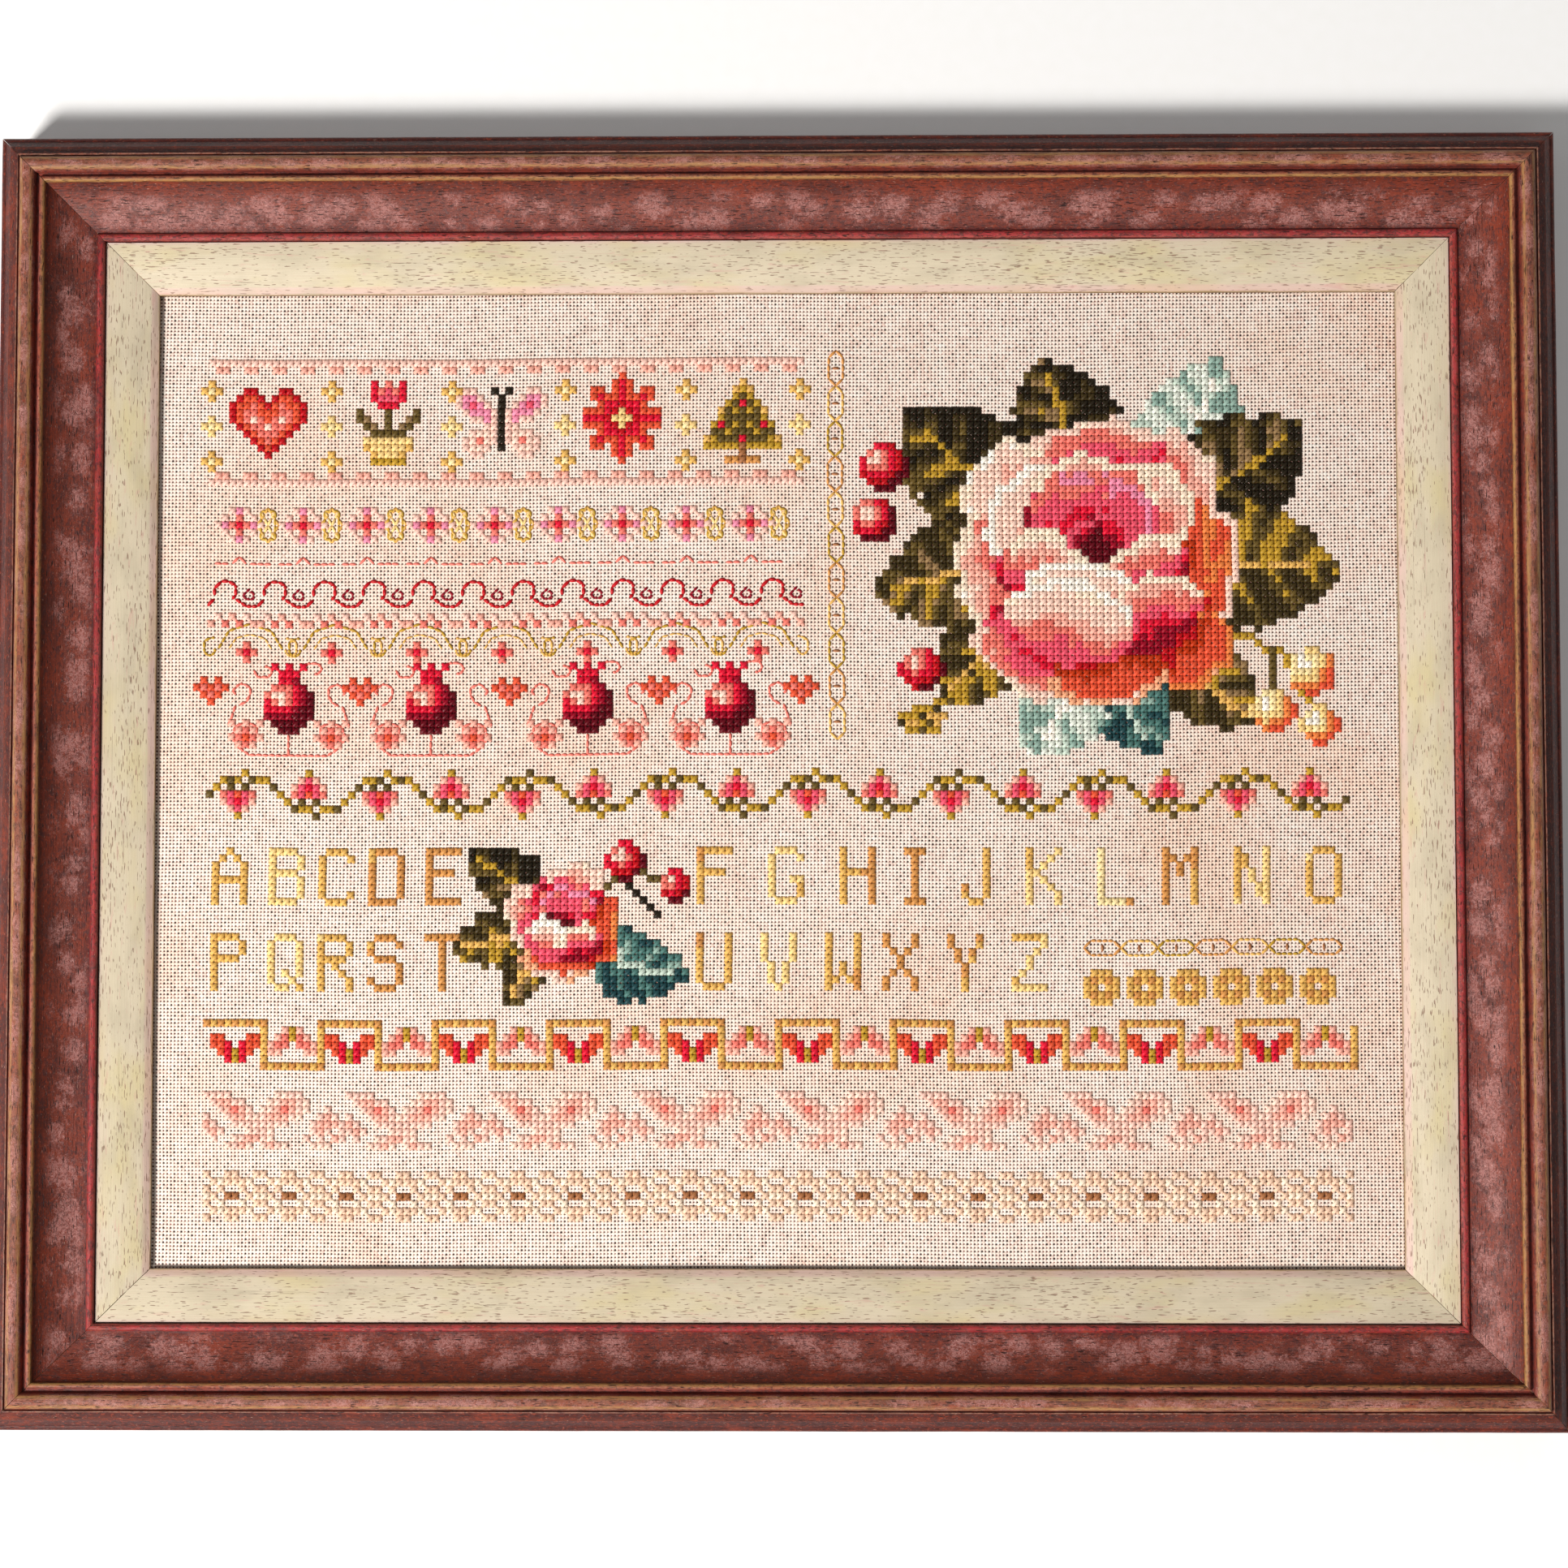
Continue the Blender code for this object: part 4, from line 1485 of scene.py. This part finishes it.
def eyelet_band(design: Design, col: int, row: int, width: int) -> None:
    """Works a sand band of openwork squares with a brown bar in each."""
    design.motif = "eyelet_band"
    for i in range(width // 8):
        design.draw("d..dd..d .deddde. d.d..d.d ed.DD.de d.e..e.d .deddde. d..dd..d", col + 8 * i, row)


def sampler_design() -> Design:
    """Lays out the whole counted design and gives it back."""
    design = Design()
    large_spray(design, 132, 37)
    motif_panel(design, 7, 9, 84)
    knot_band(design, 8, 30, 84)
    dash_band(design, 8, 37, 84)
    wave_band(design, 7, 40, 84)
    arc_band(design, 7, 47, 84)
    fruit_band(design, 7, 53, 84)
    chain(design, (95.5, 8), 55, True)
    bud_vine(design, 7, 67, 160)
    row_of_letters(design, "ABCDE", 8, 78, 43)
    row_of_letters(design, "FGHIJKLMNO", 76, 78, 166)
    row_of_letters(design, "PQRST", 8, 90, 43)
    row_of_letters(design, "UVWXYZ", 76, 90, 125)
    small_spray(design, 57, 88)
    chain(design, (130, 92), 36, False)
    for i in range(6):
        design.draw(".ooo. oNoNo oo.oo oNoNo .ooo.", 130 + 6 * i, 95)
    leaf_meander(design, 7, 102, 160)
    pale_band(design, 7, 112, 160)
    eyelet_band(design, 7, 123, 160)
    return design


@dataclass
class Stitching:
    """The stitches as thread: each leg an arched tube from hole to hole.

    Args:
        linen: the cloth that they are worked on.
        half_width: half the width of a cross's leg where it is widest, in millimetres.
        fullness: half its height there.
        lift: how high the middle of an under leg stands over the cloth.
        over_lift: how high that of an over leg stands.
        line_half_width: half the width of a back stitch of one strand.
        strand_share: how much wider each further strand makes it, as a share.
        end_girth: how wide a leg's ends are, as a share of its middle.
        dive: how deep its ends go into the cloth.
        arch: how flat the top of its arch is.
        seed: where the small differences start.
    """

    linen: Linen
    half_width: float = 0.55
    fullness: float = 0.25
    lift: float = 0.17
    over_lift: float = 0.34
    line_half_width: float = 0.25
    strand_share: float = 0.45
    end_girth: float = 0.70
    dive: float = 0.10
    arch: float = 2.6
    seed: int = 28

    def build(self, design: Design) -> list:
        """Works every motif of the design as one piece, and gives the pieces back."""
        dice = np.random.default_rng(self.seed)
        over_leg = self.leg(6)
        under_leg = self.leg(4)
        cotton = self.cotton()
        motifs = {motif for motif, _ in design.crosses.values()} | {line[0] for line in design.lines}
        pieces = []
        for motif in sorted(motifs):
            batches = []
            cells = [(place, shade) for place, (name, shade) in design.crosses.items() if name == motif]
            if cells:
                corners = np.array([place for place, _ in cells], float)
                shades = np.array([linear(shade.value)[:3] for _, shade in cells])
                down = np.concatenate([corners, corners + 1], axis=1)
                up = np.concatenate([corners + (0, 1), corners + (1, 0)], axis=1)
                wide = self.half_width * dice.uniform(0.92, 1.08, len(cells))
                tints = shades * dice.uniform(0.90, 1.08, (len(cells), 1))
                # Under legs take their shade 5 percent darker: painted shade under the over legs.
                batches.append(self.lay(under_leg, down, wide * 1.06, self.lift, tints * 0.95, dice))
                batches.append(self.lay(over_leg, up, wide, self.over_lift, tints, dice))
            lines = [line for line in design.lines if line[0] == motif]
            if lines:
                ends = np.array([line[1] for line in lines])
                shades = np.array([linear(line[2].value)[:3] for line in lines])
                strands = np.array([line[3] for line in lines])
                wide = self.line_half_width * (1 + self.strand_share * (strands - 1))
                tints = shades * dice.uniform(0.92, 1.08, (len(lines), 1))
                batches.append(self.lay(under_leg, ends, wide, self.lift * 0.9, tints, dice))
            piece = self.join(f"stitched_{motif}", batches, cotton)
            hand_over(piece, "linen")
            pieces.append(piece)
        return pieces

    def leg(self, rings: int) -> tuple:
        """Models one leg, of unit length and width, to be copied: a five-sided tube with closed ends.

        Args:
            rings: how many rings of points it has along it.

        Returns:
            The leg's points and its faces.
        """
        sides = 5
        clear_selection()
        bpy.ops.mesh.primitive_cylinder_add(vertices=sides, radius=1, depth=2, end_fill_type="NGON")
        tube = bpy.context.object
        mesh = tube.data
        heights = [vertex.co.z for vertex in mesh.vertices]
        ends = [edge.vertices for edge in mesh.edges]
        select_edges(tube, [abs(heights[a] - heights[b]) > 1 for a, b in ends])
        bpy.ops.mesh.subdivide(number_cuts=rings - 2)
        bpy.ops.object.mode_set(mode="OBJECT")
        points = np.array([vertex.co for vertex in mesh.vertices])
        faces = [tuple(polygon.vertices) for polygon in mesh.polygons]
        bpy.data.objects.remove(tube)
        return points, faces

    def lay(self, leg: tuple, ends: np.ndarray, wide: np.ndarray, lift: float, shades: np.ndarray,
            dice: np.random.Generator) -> tuple:
        """Copies the leg from hole to hole.

        Args:
            leg: the leg's points and faces.
            ends: the two holes of each stitch, in cells.
            wide: half the width of each stitch, in millimetres.
            lift: how high its middle stands over the cloth.
            shades: its linear colour.
            dice: the source of small differences.

        Returns:
            Points, faces, colours and map of all the copies.
        """
        points, faces = leg
        x0 = ends[:, 0] * CELL - HALF_WIDTH
        y0 = HALF_HEIGHT - ends[:, 1] * CELL
        x1 = ends[:, 2] * CELL - HALF_WIDTH
        y1 = HALF_HEIGHT - ends[:, 3] * CELL
        starts = np.stack([x0, y0], axis=1) + self.strays(x0, y0)
        stops = np.stack([x1, y1], axis=1) + self.strays(x1, y1)
        base = np.array([self.linen.height_at(x, y) for x, y in (starts + stops) / 2])
        span = stops - starts
        length = np.linalg.norm(span, axis=1)
        along_way = span / length[:, None]
        side_way = np.stack([-along_way[:, 1], along_way[:, 0]], axis=1)
        t = points[:, 2]
        ease = 1 - np.abs(t) ** self.arch
        girth = self.end_girth + (1 - self.end_girth) * ease
        along = t[None, :] * (length[:, None] / 2 - 0.02)
        lean = dice.uniform(-0.05, 0.05, len(ends))[:, None] * ease
        across = points[:, 0] * girth * wide[:, None] + lean
        full = self.fullness * wide[:, None] / self.half_width
        high = (-self.dive + (lift + self.dive) * ease) * (1 + dice.uniform(-0.06, 0.06, (len(ends), 1)))
        up = base[:, None] + high + points[:, 1] * girth * full
        middle = (starts + stops) / 2
        place = middle[:, None, :] + along[..., None] * along_way[:, None, :]
        place = place + across[..., None] * side_way[:, None, :]
        where = np.concatenate([place, up[..., None]], axis=2).reshape(-1, 3) * MM
        count = len(points)
        shifts = np.arange(len(ends)) * count
        quads = np.array([face for face in faces if len(face) == 4])
        caps = np.array([face for face in faces if len(face) != 4])
        all_quads = (quads[None] + shifts[:, None, None]).reshape(-1, 4)
        all_caps = (caps[None] + shifts[:, None, None]).reshape(-1, caps.shape[1])
        turn = np.arctan2(points[:, 0], points[:, 1]) / (2 * math.pi)
        run = np.stack([along + 7.0 * np.arange(len(ends))[:, None], np.tile(turn, (len(ends), 1))], axis=2)
        return where, all_quads, all_caps, np.repeat(shades, count, axis=0), run.reshape(-1, 2)

    def strays(self, x: np.ndarray, y: np.ndarray) -> np.ndarray:
        """Gives how far the cloth's drift moves each hole, in millimetres."""
        across, down = self.linen.drift_at(x, y)
        return np.stack([across, down], axis=1) * THREAD

    def join(self, name: str, batches: list, cotton: bpy.types.Material) -> bpy.types.Object:
        """Joins batches of stitches into one piece with its colours and map."""
        points, quads, caps, shades, runs = [], [], [], [], []
        first = 0
        for where, some_quads, some_caps, some_shades, some_runs in batches:
            points.append(where)
            quads.append(some_quads + first)
            caps.append(some_caps + first)
            shades.append(some_shades)
            runs.append(some_runs)
            first += len(where)
        mesh = bpy.data.meshes.new(name)
        faces = np.concatenate(quads).tolist() + np.concatenate(caps).tolist()
        mesh.from_pydata(np.concatenate(points).tolist(), [], faces)
        colours = np.concatenate(shades)
        layer = mesh.color_attributes.new("Floss", "FLOAT_COLOR", "POINT")
        full = np.ones((len(colours), 1))
        layer.data.foreach_set("color", np.concatenate([colours, full], axis=1).ravel())
        run = mesh.attributes.new("Lay", "FLOAT2", "POINT")
        run.data.foreach_set("vector", np.concatenate(runs).ravel())
        mesh.shade_smooth()
        mesh.materials.append(cotton)
        piece = bpy.data.objects.new(name, mesh)
        bpy.context.scene.collection.objects.link(piece)
        return piece

    def cotton(self) -> bpy.types.Material:
        """Lays the stranded cotton: each stitch's own shade, twisted plies and a soft gloss."""
        bench = NodeBench("stranded_cotton")
        shade = bench.add("Attribute", {}, attribute_name="Floss")
        lay = bench.add("Attribute", {}, 1, attribute_name="Lay")
        parts = bench.add("SeparateXYZ", {"Vector": lay}).node.outputs
        drawn_out = bench.add("CombineXYZ", {0: bench.math("MULTIPLY", parts[0], 1.3),
                                             1: bench.math("MULTIPLY", parts[1], 22.0)})
        fibre = bench.noise(drawn_out, 1.0, 2, 0.6)
        strand = bench.math("ADD", parts[1], bench.math("MULTIPLY", bench.math("SINE", parts[0]), 0.02))
        groove = bench.remap(bench.math("ABSOLUTE", strand), 0.0, 0.035, 1.0, 0.0)
        bright = bench.add("HueSaturation", {"Color": shade, "Saturation": 1.06, "Value": 1.20})
        colour = bench.mix(bench.remap(fibre, 0.35, 0.65, 0.0, 0.55), bright, shade)
        # The groove between the two strands is darkened with a deeper copy of the shade: painted shade in
        # that crease.
        deep = bench.mix(1.0, shade, (200, 178, 166), "MULTIPLY")
        colour = bench.mix(bench.math("MULTIPLY", groove, 0.55), colour, deep)
        relief = bench.math("SUBTRACT", bench.math("MULTIPLY", fibre, 0.5), groove)
        return bench.finish(Base_Color=colour, Roughness=0.42, Normal=bench.bump(relief, 0.05 * MM, 0.6),
                            Specular_IOR_Level=0.35)


@dataclass
class Studio:
    """The pale floor, the soft lights and the camera over the frame."""

    camera_place: tuple = (12.58, -38.33, 751.11)
    camera_turn: tuple = (2.831, 0.812, -0.033)
    lens: float = 67.18
    sensor: float = 36.0
    floor_size: float = 6.0
    floor_glow: float = 0.08
    key_place: tuple = (-1.00, -0.80, 1.25)
    key_size: float = 0.38
    key_power: float = 41.0
    key_colour: Colour = (1.0, 0.975, 0.945)
    fill_place: tuple = (0.9, 0.9, 1.5)
    fill_size: float = 1.6
    fill_power: float = 1.7
    fill_colour: Colour = (0.95, 0.97, 1.0)
    air_colour: tuple = (1.0, 0.97, 0.94, 1.0)
    air_strength: float = 0.16

    def build(self) -> None:
        """Sets up floor, lights, world and camera."""
        clear_selection()
        bpy.ops.mesh.primitive_plane_add(size=self.floor_size, location=(0, 0, 0))
        floor = bpy.context.object
        floor.name = "floor"
        bench = NodeBench("floor_paper")
        place = bench.add("TexCoord", {}, 3)
        grain = bench.noise(bench.stretched(place, 300, 300, 300), 1.0, 2)
        colour = bench.mix(bench.remap(grain, 0.3, 0.7), (253, 253, 252), (255, 255, 255))
        # The floor's small emission is painted light: the floor glows a little on its own.
        floor.data.materials.append(bench.finish(Base_Color=colour, Roughness=0.9, Emission_Color=colour,
                                                 Emission_Strength=self.floor_glow))
        self.lamp("key_light", self.key_place, self.key_size, self.key_power, self.key_colour)
        self.lamp("fill_light", self.fill_place, self.fill_size, self.fill_power, self.fill_colour)
        world = bpy.data.worlds.new("studio")
        world.use_nodes = True
        air = world.node_tree.nodes["Background"]
        air.inputs["Color"].default_value = self.air_colour
        air.inputs["Strength"].default_value = self.air_strength
        bpy.context.scene.world = world
        bpy.context.scene.view_settings.view_transform = "Standard"
        lens = bpy.data.cameras.new("camera")
        lens.lens = self.lens
        lens.sensor_width = self.sensor
        lens.clip_start = 0.01
        camera = bpy.data.objects.new("camera", lens)
        camera.location = Vector(self.camera_place) * MM
        camera.rotation_euler = [math.radians(angle) for angle in self.camera_turn]
        bpy.context.scene.collection.objects.link(camera)
        bpy.context.scene.camera = camera

    def lamp(self, name: str, place: tuple, size: float, power: float, colour: Colour) -> None:
        """Hangs one square lamp that faces the object's middle."""
        light = bpy.data.lights.new(name, "AREA")
        light.shape = "SQUARE"
        light.size = size
        light.energy = power
        light.color = colour
        lamp = bpy.data.objects.new(name, light)
        lamp.location = place
        lamp.rotation_euler = (-Vector(place)).to_track_quat("-Z", "Y").to_euler()
        bpy.context.scene.collection.objects.link(lamp)


def main() -> None:
    """Builds every sub-assembly in order and reports it."""
    logging.basicConfig(level=logging.INFO, format="%(name)s %(message)s")
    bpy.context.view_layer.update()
    Studio().build()
    Moulding().build()
    Liner().build()
    linen = Linen()
    cloth = linen.build()
    stitches = Stitching(linen).build(sampler_design())
    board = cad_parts["backing_board"]
    board.data.materials.clear()
    board.data.materials.append(Fibreboard().build())


if __name__ == "__main__":
    main()
